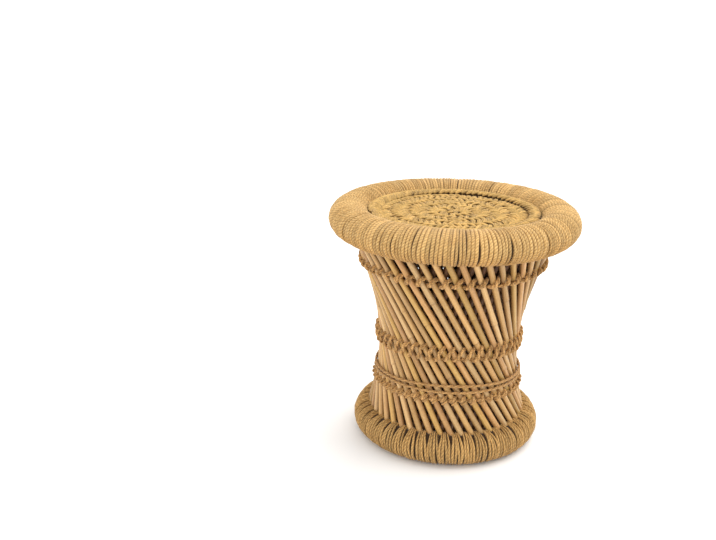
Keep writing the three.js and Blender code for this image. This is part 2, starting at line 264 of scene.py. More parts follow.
def srgb(code: str) -> Color:
    """Linear colour of a hexadecimal sRGB code.

    Args:
        code: six hexadecimal digits.

    Returns:
        Red, green, blue and alpha for a shader socket.
    """
    parts = [int(code[index : index + 2], 16) / 255 for index in (0, 2, 4)]
    red, green, blue = [
        part / 12.92 if part <= 0.04045 else ((part + 0.055) / 1.055) ** 2.4 for part in parts
    ]
    return (red, green, blue, 1.0)


def select_only(pieces: Sequence[bpy.types.Object]) -> None:
    """Deselects everything, then selects the given objects and makes the first active.

    Args:
        pieces: the objects to select.
    """
    bpy.ops.object.select_all(action="DESELECT")
    for piece in pieces:
        piece.select_set(True)
    bpy.context.view_layer.objects.active = pieces[0]


def smooth_step(value: Numbers) -> Numbers:
    """Smooth rise from 0 to 1."""
    held = np.clip(value, 0, 1)
    return held * held * (3 - 2 * held)


def around_axis(radius: np.ndarray, azimuth: Numbers, level: Numbers) -> np.ndarray:
    """Points from their distance to the stool's axis, azimuth and level.

    Args:
        radius: distances from the axis.
        azimuth: angles round the axis.
        level: heights.

    Returns:
        The points, one row each.
    """
    east, north = radius * np.cos(azimuth), radius * np.sin(azimuth)
    return np.stack([east, north, level + 0 * radius], axis=-1)


def unit(vectors: np.ndarray) -> np.ndarray:
    """The same vectors at length one."""
    return vectors / np.maximum(np.linalg.norm(vectors, axis=-1, keepdims=True), TINY)


def away_from_axis(points: np.ndarray) -> np.ndarray:
    """Level directions of length one from the stool's axis to each point."""
    return unit(points * LEVEL_PART)


def upward(count: int) -> np.ndarray:
    """The upward direction, once for each point of a path."""
    return np.tile(UP, (count, 1))


def turned(first: np.ndarray, second: np.ndarray, angle: np.ndarray) -> np.ndarray:
    """Directions that go round from one to another."""
    return first * np.cos(angle)[:, None] + second * np.sin(angle)[:, None]


def varied(chance: random.Random, change: float) -> float:
    """A factor near one, at most the given change away."""
    return 1 + chance.uniform(-change, change)


def distances(path: np.ndarray) -> np.ndarray:
    """Distance of each point of a path from its first, along the path."""
    steps = np.linalg.norm(np.diff(path, axis=0), axis=1)
    return np.concatenate([[0.0], np.cumsum(steps)])


def mark_points(mesh: bpy.types.Mesh, name: str, values: np.ndarray) -> None:
    """Writes one number for each point of a mesh as an attribute.

    Args:
        mesh: the mesh.
        name: name of the attribute.
        values: the numbers, in the order of the points.
    """
    marks = mesh.attributes.new(name, "FLOAT", "POINT")
    marks.data.foreach_set("value", values.astype(np.float32))


def points_of(mesh: bpy.types.Mesh) -> np.ndarray:
    """Reads where the points of a mesh are.

    Args:
        mesh: the mesh.

    Returns:
        The points, one row each.
    """
    points = np.empty(len(mesh.vertices) * 3)
    mesh.vertices.foreach_get("co", points)
    return points.reshape(-1, 3)


def new_object(name: str, data: bpy.types.ID) -> bpy.types.Object:
    """Makes an object and links it into the scene.

    Args:
        name: its name.
        data: its mesh, light or camera.

    Returns:
        The object, at the origin.
    """
    made = bpy.data.objects.new(name, data)
    bpy.context.scene.collection.objects.link(made)
    return made


class StrandMesh:
    """Collects swept strands and turns them into one mesh with a strand map.

    The map's first coordinate is the distance along the strand in metres, and its second is the
    share of a turn round it.
    """

    def __init__(self, name: str) -> None:
        """Starts an empty mesh.

        Args:
            name: name of the piece that comes out.
        """
        self.name = name
        self.points: list[np.ndarray] = []
        self.tones: list[np.ndarray] = []
        self.corners: list[np.ndarray] = []
        self.sizes: list[np.ndarray] = []
        self.maps: list[np.ndarray] = []
        self.count = 0

    def sweep(
        self,
        path: np.ndarray,
        half_width: Numbers,
        half_height: Numbers,
        normals: np.ndarray,
        sides: int = 8,
        tone: float = 0.5,
        start: float = 0.0,
        floor: float | None = None,
    ) -> None:
        """Adds one strand with an oval section.

        Args:
            path: points of the centre line.
            half_width: reach across the normals, one value or one for each point.
            half_height: reach along the normals, likewise.
            normals: one direction for each point, roughly across the path.
            sides: corners of the section.
            tone: value of the tone attribute on this strand.
            start: length in metres that is added to the map, so that no two strands match.
            floor: level under which no point of the strand goes, if there is one.
        """
        tangents = unit(np.gradient(path, axis=0))
        normals = unit(normals - tangents * np.sum(normals * tangents, axis=1, keepdims=True))
        across = np.cross(normals, tangents)
        angles = FULL_TURN * np.arange(sides) / sides
        height = (np.ones(len(path)) * half_height)[:, None, None] * np.cos(angles)[None, :, None]
        width = (np.ones(len(path)) * half_width)[:, None, None] * np.sin(angles)[None, :, None]
        rings = path[:, None, :] + normals[:, None, :] * height + across[:, None, :] * width
        if floor is not None:
            rings[:, :, 2] = np.maximum(rings[:, :, 2], floor)
        along = distances(path) + start
        first, steps = self._add_points(rings, tone, rings[[0, -1]].mean(axis=1)), len(path)
        self._join_rings(first, steps - 1, rings.shape, along)
        self._close(first, first + steps * sides, sides, along[0], False)
        self._close(first + (steps - 1) * sides, first + steps * sides + 1, sides, along[-1], True)

    def shell(self, rings: np.ndarray, tone: float) -> None:
        """Adds a closed body of revolution from its outlines, the last joined to the first.

        Args:
            rings: points, as steps by sides by three.
            tone: value of the tone attribute.
        """
        first, steps = self._add_points(rings, tone), len(rings)
        self._join_rings(first, steps, rings.shape, np.arange(steps + 1) / steps)

    def _add_points(self, rings: np.ndarray, tone: float, ends: np.ndarray | None = None) -> int:
        """Keeps the points of a body with their tone.

        Args:
            rings: points, as steps by sides by three.
            tone: value of the tone attribute.
            ends: middles of its two ends, if it has ends.

        Returns:
            Number of the first point.
        """
        first = self.count
        points = rings.reshape(-1, 3)
        if ends is not None:
            points = np.concatenate([points, ends])
        self.points.append(points)
        self.tones.append(np.full(len(points), tone))
        self.count += len(points)
        return first

    def _join_rings(
        self, first: int, spans: int, shape: tuple[int, ...], along: np.ndarray
    ) -> None:
        """Joins rings of points by quads.

        Args:
            first: number of the first ring's first point.
            spans: how many rings are joined to the one after them.
            shape: shape of the rings' points.
            along: map distance of each ring, and of the first one again in a closed body.
        """
        steps, sides, _ = shape
        step, side = np.meshgrid(np.arange(spans), np.arange(sides), indexing="ij")
        after = (side + 1) % sides
        here, there = first + step * sides, first + (step + 1) % steps * sides
        quads = np.stack([here + side, there + side, there + after, here + after], axis=-1)
        near, far = along[step], along[step + 1]
        low, high = side / sides, (side + 1) / sides
        quad_map = np.stack([near, low, far, low, far, high, near, high], axis=-1)
        self._add_faces(quads.reshape(-1, 4), quad_map)

    def _close(self, first: int, middle: int, sides: int, mark: float, turned_over: bool) -> None:
        """Closes one end of a strand with a fan.

        Args:
            first: number of the end ring's first point.
            middle: number of the end's middle point.
            sides: corners of the section.
            mark: map distance of the end.
            turned_over: whether the fan faces along the strand, as the far end's does.
        """
        corner = np.arange(sides)
        after = (corner + 1) % sides
        near, far = (after, corner) if turned_over else (corner, after)
        fan = np.stack([np.full(sides, middle), first + near, first + far], axis=-1)
        marks, half = np.full(sides, mark), np.full(sides, 0.5)
        fan_map = np.stack([marks, half, marks, near / sides, marks, far / sides], axis=-1)
        self._add_faces(fan, fan_map)

    def _add_faces(self, faces: np.ndarray, corner_map: np.ndarray) -> None:
        """Keeps faces of one size and the map of their corners.

        Args:
            faces: point numbers, one row for each face.
            corner_map: map coordinates of all corners in order.
        """
        self.corners.append(faces.ravel())
        self.sizes.append(np.full(len(faces), faces.shape[1]))
        self.maps.append(corner_map.reshape(-1, 2))

    def build(self) -> bpy.types.Object:
        """Makes the object, smooth shaded, with its map and its tones.

        Returns:
            The new object, at the origin.
        """
        mesh = bpy.data.meshes.new(self.name)
        points = np.concatenate(self.points)
        corners = np.concatenate(self.corners)
        sizes = np.concatenate(self.sizes)
        mesh.vertices.add(len(points))
        mesh.vertices.foreach_set("co", points.astype(np.float32).ravel())
        mesh.loops.add(len(corners))
        mesh.loops.foreach_set("vertex_index", corners.astype(np.int32))
        mesh.polygons.add(len(sizes))
        mesh.polygons.foreach_set("loop_start", (np.cumsum(sizes) - sizes).astype(np.int32))
        layer = mesh.uv_layers.new(name=STRAND_MAP)
        layer.data.foreach_set("uv", np.concatenate(self.maps).astype(np.float32).ravel())
        mark_points(mesh, TONE, np.concatenate(self.tones))
        mesh.update(calc_edges=True)
        mesh.shade_smooth()
        return new_object(self.name, mesh)


# Shader node helpers and shared effects


class NodeSheet:
    """Adds and joins the nodes of one shader tree."""

    def __init__(self, tree: bpy.types.NodeTree) -> None:
        """Keeps the tree that the nodes go into.

        Args:
            tree: a material's tree or a group.
        """
        self.tree = tree

    def add(self, kind: str, **settings: object) -> bpy.types.Node:
        """Adds a node and sets its properties.

        Args:
            kind: Blender's type name of the node.
            **settings: properties of the node by name.

        Returns:
            The node.
        """
        node = self.tree.nodes.new(kind)
        for name, value in settings.items():
            setattr(node, name, value)
        return node

    def feed(self, socket: Socket, value: object) -> None:
        """Links a socket into another, or sets a plain value on it.

        Args:
            socket: the input socket.
            value: an output socket, or a plain value.
        """
        if isinstance(value, bpy.types.NodeSocket):
            self.tree.links.new(value, socket)
        else:
            socket.default_value = value

    def feed_all(self, node: bpy.types.Node, values: Sequence[object]) -> Socket:
        """Feeds the inputs of a node in order.

        Args:
            node: the node.
            values: numbers or sockets.

        Returns:
            The node's first output.
        """
        for socket, value in zip(node.inputs, values):
            self.feed(socket, value)
        return node.outputs[0]

    def math(self, operation: str, *values: object) -> Socket:
        """Result of a Math node that is fed the given numbers or sockets."""
        return self.feed_all(self.add("ShaderNodeMath", operation=operation), values)

    def vector(self, along: object, across: object, third: object = 0.0) -> Socket:
        """Vector of three numbers or sockets."""
        return self.feed_all(self.add("ShaderNodeCombineXYZ"), (along, across, third))

    def split(self, vector: Socket) -> Sequence[Socket]:
        """Takes a vector apart.

        Args:
            vector: the vector's socket.

        Returns:
            Its three values.
        """
        node = self.add("ShaderNodeSeparateXYZ")
        self.feed(node.inputs[0], vector)
        return node.outputs

    def attribute(self, name: str) -> Socket:
        """Value of a mesh attribute."""
        return self.add("ShaderNodeAttribute", attribute_name=name).outputs["Fac"]

    def blend(self, share: object, first: object, second: object, mode: str = "MIX") -> Socket:
        """Mixes two colours.

        Args:
            share: how much of the second there is, 0 to 1.
            first: a colour or a socket.
            second: a colour or a socket.
            mode: blend type.

        Returns:
            The mixed colour.
        """
        node = self.add("ShaderNodeMix", data_type="RGBA", blend_type=mode)
        for index, value in ((0, share), (6, first), (7, second)):
            self.feed(node.inputs[index], value)
        return node.outputs[2]

    def spread(
        self, value: object, low: float, high: float, to_low: float = 0.0, to_high: float = 1.0
    ) -> Socket:
        """Stretches a range of values to another and clamps it.

        Args:
            value: the value's socket.
            low: start of the range that comes in.
            high: end of that range.
            to_low: what the start becomes.
            to_high: what the end becomes.

        Returns:
            The stretched value.
        """
        node = self.add("ShaderNodeMapRange")
        return self.feed_all(node, (value, low, high, to_low, to_high))

    def noise(self, vector: object, scale: object, detail: float = 2.0) -> Socket:
        """Adds a noise texture.

        Args:
            vector: socket of its coordinates.
            scale: how fine it is.
            detail: how many finer layers it has.

        Returns:
            Its value.
        """
        node = self.add("ShaderNodeTexNoise")
        for name, value in (("Vector", vector), ("Scale", scale), ("Detail", detail)):
            self.feed(node.inputs[name], value)
        return node.outputs[0]


class Effect(Enum):
    """Effects that several finishes share, by the name of their node group."""

    PLY_TWIST = "ply twist"
    FIBRES = "twine fibres"
    HANDLING = "handling wear"
    GRAIN = "bamboo grain"


class EffectShelf:
    """Builds each shared effect once and places it in the finishes."""

    FLANK = (0.92, 0.35)  # cosines round a wrap, from where its flank starts to where it is full
    CLUMP = (0.35, 0.3, 5.0)  # how coarse clumps are beside fibres, along and across, and a shift
    PATCH = (0.35, 0.68)  # where a patch starts in its noise and where it is full
    DOT_SCALE, DOT = 900.0, (0.62, 0.72)
    GRIT_SCALE = 430.0
    TONE_SHIFT = 37.0  # how far two canes of other tones are apart in the grain
    GRAINS = (("Streak", 14.0, 2.2, 4.0), ("Blotch", 38.0, 0.9, 2.0), ("Line", 9.0, 9.0, 2.0))

    def __init__(self) -> None:
        """Builds all node groups."""
        self.groups: dict[Effect, bpy.types.NodeTree] = {
            Effect.PLY_TWIST: self._ply_twist(),
            Effect.FIBRES: self._fibres(),
            Effect.HANDLING: self._handling(),
            Effect.GRAIN: self._grain(),
        }

    def place(self, sheet: NodeSheet, effect: Effect, **values: object) -> Sockets:
        """Places an effect in a finish.

        Args:
            sheet: the finish's nodes.
            effect: which effect.
            **values: its inputs by name.

        Returns:
            Its outputs by name.
        """
        node = sheet.add("ShaderNodeGroup", node_tree=self.groups[effect])
        for name, value in values.items():
            sheet.feed(node.inputs[name], value)
        return node.outputs

    def _open(
        self, effect: Effect, vector: str, values: Sequence[str], results: Sequence[str]
    ) -> tuple[NodeSheet, Sockets, Sockets]:
        """Starts a group with named sockets.

        Args:
            effect: which effect it is.
            vector: name of its vector input.
            values: names of its value inputs.
            results: names of its value outputs.

        Returns:
            The group's sheet, what is given to it and what it has to be fed.
        """
        tree = bpy.data.node_groups.new(effect.value, "ShaderNodeTree")
        tree.interface.new_socket(name=vector, in_out="INPUT", socket_type="NodeSocketVector")
        for way, names in (("INPUT", values), ("OUTPUT", results)):
            for name in names:
                tree.interface.new_socket(name=name, in_out=way, socket_type="NodeSocketFloat")
        sheet = NodeSheet(tree)
        return sheet, sheet.add("NodeGroupInput").outputs, sheet.add("NodeGroupOutput").inputs

    def _ply_twist(self) -> bpy.types.NodeTree:
        """Makes the plies of a twine, as ridges that wind round it, and its flanks.

        Returns:
            The group: Crest and Lag of the plies, and Flank where a wrap meets the next.
        """
        sheet, given, result = self._open(
            Effect.PLY_TWIST, "Strand", ("Pitch", "Plies"), ("Crest", "Lag", "Flank")
        )
        along, around, _ = sheet.split(given["Strand"])
        lag = sheet.math("ADD", sheet.math("DIVIDE", along, given["Pitch"]), around)
        phase = sheet.math("MULTIPLY", lag, given["Plies"])
        wave = sheet.math("SINE", sheet.math("MULTIPLY", phase, math.pi))
        facing = sheet.math("COSINE", sheet.math("MULTIPLY", around, FULL_TURN))
        sheet.feed(result["Crest"], sheet.math("ABSOLUTE", wave))
        sheet.feed(result["Lag"], lag)
        sheet.feed(result["Flank"], sheet.spread(facing, *self.FLANK))
        return sheet.tree

    def _fibres(self) -> bpy.types.NodeTree:
        """Makes fine fibres that follow the plies.

        Returns:
            The group: Fibre is fine and Clump is broad.
        """
        sheet, given, result = self._open(
            Effect.FIBRES, "Strand", ("Lag", "Length", "Number"), ("Fibre", "Clump")
        )
        along = sheet.math("DIVIDE", sheet.split(given["Strand"])[0], given["Length"])
        across = sheet.math("MULTIPLY", given["Lag"], given["Number"])
        sheet.feed(result["Fibre"], sheet.noise(sheet.vector(along, across), 1.0, 3.0))
        coarse_along, coarse_across, shift = self.CLUMP
        along = sheet.math("MULTIPLY", along, coarse_along)
        across = sheet.math("MULTIPLY", across, coarse_across)
        sheet.feed(result["Clump"], sheet.noise(sheet.vector(along, across, shift), 1.0))
        return sheet.tree

    def _handling(self) -> bpy.types.NodeTree:
        """Makes patches where a surface is bleached, dusty or worn by use.

        Returns:
            The group: Patch is broad, Speck is in dots and Mottle goes from -1 to 1.
        """
        sheet, given, result = self._open(
            Effect.HANDLING, "Position", ("Scale", "Amount"), ("Patch", "Speck", "Mottle")
        )
        patch = sheet.spread(sheet.noise(given["Position"], given["Scale"], 3.0), *self.PATCH)
        sheet.feed(result["Patch"], sheet.math("MULTIPLY", patch, given["Amount"]))
        dots = sheet.noise(given["Position"], self.DOT_SCALE, 1.0)
        sheet.feed(result["Speck"], sheet.spread(dots, *self.DOT))
        grit = sheet.noise(given["Position"], self.GRIT_SCALE)
        sheet.feed(result["Mottle"], sheet.spread(grit, *NOISE, -1.0, 1.0))
        return sheet.tree

    def _grain(self) -> bpy.types.NodeTree:
        """Makes long streaks and blotches along a bamboo cane.

        Returns:
            The group: Streak is broad, Blotch is short and Line is fine.
        """
        sheet, given, result = self._open(
            Effect.GRAIN, "Strand", ("Tone",), ("Streak", "Blotch", "Line")
        )
        along, around, _ = sheet.split(given["Strand"])
        turn = sheet.math("MULTIPLY", around, FULL_TURN)
        east, north = sheet.math("COSINE", turn), sheet.math("SINE", turn)
        shift = sheet.math("MULTIPLY_ADD", given["Tone"], self.TONE_SHIFT, along)
        for name, stretch, number, detail in self.GRAINS:
            lane = sheet.vector(
                sheet.math("MULTIPLY", shift, stretch),
                sheet.math("MULTIPLY", east, number),
                sheet.math("MULTIPLY", north, number),
            )
            sheet.feed(result[name], sheet.noise(lane, 1.0, detail))
        return sheet.tree


class FinishSheet(NodeSheet):
    """The nodes of one material, with what every finish needs."""

    def __init__(self, name: str) -> None:
        """Makes the material.

        Args:
            name: its name.
        """
        self.material = bpy.data.materials.new(name)
        self.material.use_nodes = True
        super().__init__(self.material.node_tree)
        self.shader = self.tree.nodes["Principled BSDF"]
        self.position = self.add("ShaderNodeTexCoord").outputs["Object"]

    def strand(self) -> Socket:
        """The strand map."""
        return self.add("ShaderNodeUVMap", uv_map=STRAND_MAP).outputs[0]

    def tint(
        self, body: Socket, lift: Span, mottle: Socket, mottle_share: float, tone: Socket
    ) -> Socket:
        """Makes a colour lighter or darker by its tone and a fine mottle.

        Args:
            body: the colour.
            lift: factors for the lowest and the highest tone.
            mottle: the mottle, from -1 to 1.
            mottle_share: how strong the mottle is.
            tone: the tone, from 0 to 1.

        Returns:
            The colour that comes out.
        """
        factor = self.spread(tone, 0.0, 1.0, *lift)
        factor = self.math("MULTIPLY_ADD", mottle, mottle_share, factor)
        return self.blend(1.0, body, self.vector(factor, factor, factor), "MULTIPLY")

    def emboss(self, height: Socket, strength: float, distance: float) -> None:
        """Gives the surface a bump.

        Args:
            height: the bump's height.
            strength: how strong it is.
            distance: how high it stands, in metres.
        """
        bump = self.add("ShaderNodeBump")
        bump.inputs["Strength"].default_value = strength
        bump.inputs["Distance"].default_value = distance
        self.feed(bump.inputs["Height"], height)
        self.feed(self.shader.inputs["Normal"], bump.outputs[0])

    def finish(self, body: Socket, roughness: Socket, **values: float) -> bpy.types.Material:
        """Feeds the surface.

        Args:
            body: its colour.
            roughness: its roughness.
            **values: plain values of other inputs, with underscores for spaces.

        Returns:
            The material.
        """
        self.feed(self.shader.inputs["Base Color"], body)
        self.feed(self.shader.inputs["Roughness"], roughness)
        for name, value in values.items():
            self.shader.inputs[name.replace("_", " ")].default_value = value
        return self.material


@dataclass(frozen=True)
class TwineFinish:
    """Jute twine: wound plies with fine fibres, light on the crests, with painted shade between
    them and where wraps meet.
    """

    name: str
    light: str
    middle: str
    dark: str
    # depth: colour of painted shade in the deep gaps, taken by the dark fillings
    depth: str = "2c1a0a"
    pitch: float = 16.5 * MM
    plies: float = 3.0
    # groove and flank: how strongly the valleys between plies and the flanks where wraps meet are
    # painted dark, as painted shade
    groove: float = 0.35
    flank: float = 0.75
    flank_on_crest: float = 0.35
    crest_power: float = 0.6
    fibre_length: float = 3.2 * MM
    fibre_number: float = 16.0
    fibre_share: float = 0.45
    fibre_range: Span = (0.62, 0.3)
    # the tone where the painted depth shade starts, and its share at the darkest tone
    depth_shade_from: float = -0.2
    depth_shade_share: float = 0.92
    patch: float = 0.35
    patch_scale: float = 34.0
    mottle: float = 0.2
    lift: Span = (0.8, 1.16)
    roughness: Span = (0.74, 0.92)
    specular: float = 0.25
    sheen: float = 0.12
    sheen_roughness: float = 0.4
    crest_height: float = 0.7
    bump_strength: float = 0.75
    bump_distance: float = 0.8 * MM
    # Below a given level the twine is multiplied by a darker tint, fading in over a short height:
    # painted shade on the lower side; a level of zero leaves it off.
    painted_shade_top: float = 0.0
    painted_shade_fade: float = 22 * MM
    painted_shade_tint: str = "ecdfc8"

    def material(self, shelf: EffectShelf) -> bpy.types.Material:
        """Makes the material.

        Args:
            shelf: the shared effects.

        Returns:
            The material.
        """
        sheet = FinishSheet(self.name)
        light, middle, dark = srgb(self.light), srgb(self.middle), srgb(self.dark)
        strand, tone = sheet.strand(), sheet.attribute(TONE)
        plies = {"Pitch": self.pitch, "Plies": self.plies}
        twist = shelf.place(sheet, Effect.PLY_TWIST, Strand=strand, **plies)
        fibres = {"Lag": twist["Lag"], "Length": self.fibre_length, "Number": self.fibre_number}
        fibre, clump = shelf.place(sheet, Effect.FIBRES, Strand=strand, **fibres)
        patches = {"Scale": self.patch_scale, "Amount": self.patch}
        wear = shelf.place(sheet, Effect.HANDLING, Position=sheet.position, **patches)
        crest = sheet.math("POWER", twist["Crest"], self.crest_power)
        body = sheet.blend(sheet.spread(clump, *NOISE), middle, light)
        thin = sheet.math("MULTIPLY", sheet.spread(fibre, *self.fibre_range), self.fibre_share)
        body = sheet.blend(thin, body, dark)
        body = sheet.blend(wear["Patch"], body, light)
        # Valleys between the plies and flanks where one wrap meets the next are darkened toward the
        # dark colour: painted shade in the creases.
        valley = sheet.math("SUBTRACT", 1.0, crest)
        on_valley = sheet.math("MULTIPLY_ADD", valley, 1 - self.flank_on_crest, self.flank_on_crest)
        dash = sheet.math("MULTIPLY", twist["Flank"], on_valley)
        groove = sheet.math("MULTIPLY", valley, self.groove)
        shade = sheet.math("MAXIMUM", groove, sheet.math("MULTIPLY", dash, self.flank))
        body = sheet.blend(shade, body, dark)
        # Points with the fillings' dark tone, and seat strands whose tone falls below zero, are
        # painted toward the depth colour: painted shade in the gaps.
        painted_depth_shade = sheet.spread(tone, self.depth_shade_from, DEPTH_SHADE_TONE, 0.0, self.depth_shade_share)
        body = sheet.blend(painted_depth_shade, body, srgb(self.depth))
        # Below that level the colour is multiplied by the darker tint: painted shade on the lower
        # side.
        level, full = sheet.split(sheet.position)[2], self.painted_shade_top
        low = sheet.spread(level, full, full - self.painted_shade_fade)
        body = sheet.blend(low, body, srgb(self.painted_shade_tint), "MULTIPLY")
        body = sheet.tint(body, self.lift, wear["Mottle"], self.mottle, tone)
        relief = sheet.math("MULTIPLY", crest, self.crest_height)
        relief = sheet.math("MULTIPLY_ADD", fibre, 1 - self.crest_height, relief)
        sheet.emboss(relief, self.bump_strength, self.bump_distance)
        rough = sheet.spread(fibre, *NOISE, *self.roughness)
        sheen = {"Sheen_Weight": self.sheen, "Sheen_Roughness": self.sheen_roughness}
        return sheet.finish(body, rough, Specular_IOR_Level=self.specular, **sheen)


@dataclass(frozen=True)
class CaneFinish:
    """Bamboo: a smooth satin skin with streaks, blotches, a dark ring at the joint and painted
    shade on the sides that face the next canes.
    """

    name: str
    light: str
    deep: str
    blotch: str
    joint: str = "6b4528"
    # share of painted shade on the sides of a cane that turn away from the outside, toward its
    # neighbours
    painted_side_shade: float = 0.62
    outward_range: Span = (0.88, 0.05)
    streak_range: Span = (0.35, 0.65)
    blotch_range: Span = (0.52, 0.66)
    blotch_share: float = 0.35
    line_range: Span = (0.6, 0.72)
    line_share: float = 0.25
    speck_share: float = 0.3
    joint_share: float = 0.4
    patch: float = 0.3
    patch_scale: float = 55.0
    mottle: float = 0.08
    lift: Span = (0.76, 1.2)
    roughness: float = 0.36
    streak_roughness: float = 0.16
    specular: float = 0.45
    line_height: float = 0.4
    streak_height: float = 0.3
    bump_strength: float = 0.35
    bump_distance: float = 0.3 * MM
    from_strand: bool = True

    def material(self, shelf: EffectShelf) -> bpy.types.Material:
        """Makes the material.

        Args:
            shelf: the shared effects.

        Returns:
            The material.
        """
        sheet = FinishSheet(self.name)
        light, joint = srgb(self.light), srgb(self.joint)
        strand = sheet.strand() if self.from_strand else sheet.position
        tone = sheet.attribute(TONE)
        grain = shelf.place(sheet, Effect.GRAIN, Strand=strand, Tone=tone)
        patches = {"Scale": self.patch_scale, "Amount": self.patch}
        wear = shelf.place(sheet, Effect.HANDLING, Position=sheet.position, **patches)
        streak = sheet.spread(grain["Streak"], *self.streak_range)
        blotch = sheet.spread(grain["Blotch"], *self.blotch_range, 0.0, self.blotch_share)
        outward = sheet.attribute(OUTWARD)
        shares = (
            (blotch, srgb(self.blotch)),
            (sheet.spread(grain["Line"], *self.line_range, 0.0, self.line_share), joint),
            (wear["Patch"], light),
            (sheet.math("MULTIPLY", wear["Speck"], self.speck_share), joint),
            (sheet.math("MULTIPLY", sheet.attribute(JOINT), self.joint_share), joint),
            # The sides of each cane that turn away from the outside are darkened toward the joint
            # colour: painted shade between the canes.
            (sheet.spread(outward, *self.outward_range, 0.0, self.painted_side_shade), joint),
        )
        body = sheet.blend(streak, light, srgb(self.deep))
        for share, color in shares:
            body = sheet.blend(share, body, color)
        body = sheet.tint(body, self.lift, wear["Mottle"], self.mottle, tone)
        relief = sheet.math("MULTIPLY", streak, self.streak_height)
        relief = sheet.math("MULTIPLY_ADD", grain["Line"], self.line_height, relief)
        sheet.emboss(relief, self.bump_strength, self.bump_distance)
        rough = sheet.math("MULTIPLY_ADD", streak, self.streak_roughness, self.roughness)
        return sheet.finish(body, rough, Specular_IOR_Level=self.specular)


@dataclass(frozen=True)
class FloorFinish:
    """Plain pale studio floor."""

    name: str = "studio_floor"
    light: str = "f6f6f5"
    shade: str = "f3f3f2"
    cloud_scale: float = 1.2
    roughness: Span = (0.85, 0.95)
    specular: float = 0.1

    def material(self) -> bpy.types.Material:
        """Makes the material.

        Returns:
            The material.
        """
        sheet = FinishSheet(self.name)
        cloud = sheet.spread(sheet.noise(sheet.position, self.cloud_scale), *NOISE)
        body = sheet.blend(cloud, srgb(self.light), srgb(self.shade))
        rough = sheet.spread(cloud, 0.0, 1.0, *self.roughness)
        return sheet.finish(body, rough, Specular_IOR_Level=self.specular)


@dataclass
class Finishes:
    """All finishes of the stool, made once."""

    shelf: EffectShelf = field(default_factory=EffectShelf)
    made: dict[Slot, bpy.types.Material] = field(default_factory=dict)

    def __post_init__(self) -> None:
        """Makes every material."""
        # The rim's twine below 330 mm takes the darker tint: painted shade on its lower side.
        rim = {"pitch": 11.5 * MM, "groove": 0.7, "flank": 0.95, "painted_shade_top": 330 * MM}
        finishes = {
            Slot.RIM: TwineFinish("rim_jute", "dbb77a", "c99e5e", "6f4618", **rim),
            Slot.BASE: TwineFinish(
                "base_jute", "d4ab6b", "bb8e51", "563718", groove=0.6, flank=0.9
            ),
            Slot.TIE: TwineFinish(
                "tie_jute", "dcad70", "c39253", "623f1e", pitch=7 * MM, groove=0.55
            ),
            Slot.WAIST: TwineFinish(
                "waist_jute", "cda269", "b68750", "7a532a", pitch=9 * MM, groove=0.25
            ),
            Slot.SEAT: TwineFinish(
                "seat_jute", "e9c276", "d6a85e", "6b4517", pitch=5 * MM, groove=0.4, flank=0.9
            ),
            # The warp cords under the seat take a darker copy of the jute: painted shade under the
            # seat.
            Slot.WARP: TwineFinish("warp_jute", "ae8c59", "987443", "593a1a"),
            Slot.TAN: CaneFinish("bamboo_tan", "c6a067", "b4864e", "a57443"),
            Slot.GREEN: CaneFinish("bamboo_green", "c6a05c", "b48643", "aa823b"),
            Slot.BROWN: CaneFinish("bamboo_brown", "c49761", "ab7f46", "9c6a41"),
            Slot.PALE: CaneFinish("bamboo_pale", "ceaa74", "ba915b", "ac7f4c"),
            Slot.STRAW: CaneFinish("bamboo_straw", "c69f64", "b18448", "a5763c"),
            # The inner canes take a much darker copy of the bamboo: painted shade inside the stool.
            Slot.INNER: CaneFinish(
                "bamboo_inner", "6a4727", "4e2f17", "391f10", painted_side_shade=0.0, roughness=0.5
            ),
        }
        for slot, finish in finishes.items():
            self.made[slot] = finish.material(self.shelf)

    def hoop(self) -> bpy.types.Material:
        """Makes the finish of the hidden hoops, which have no strand map.

        Returns:
            The material.
        """
        colors = ("c9a063", "a5793f", "7d5530")
        finish = CaneFinish("bamboo_hoop", *colors, painted_side_shade=0.0, from_strand=False)
        return finish.material(self.shelf)

    def dress(self, piece: bpy.types.Object, slot: Slot) -> bpy.types.Object:
        """Gives a piece the material of its slot, and its body.

        Args:
            piece: the finished object, in place.
            slot: the record's slot for its finish.

        Returns:
            The same object.
        """
        piece.data.materials.clear()
        piece.data.materials.append(self.made[slot])
        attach(piece, ROOT)
        log.info("%s: %d faces", piece.name, len(piece.data.polygons))
        return piece


# Twine wound round the rim and the base


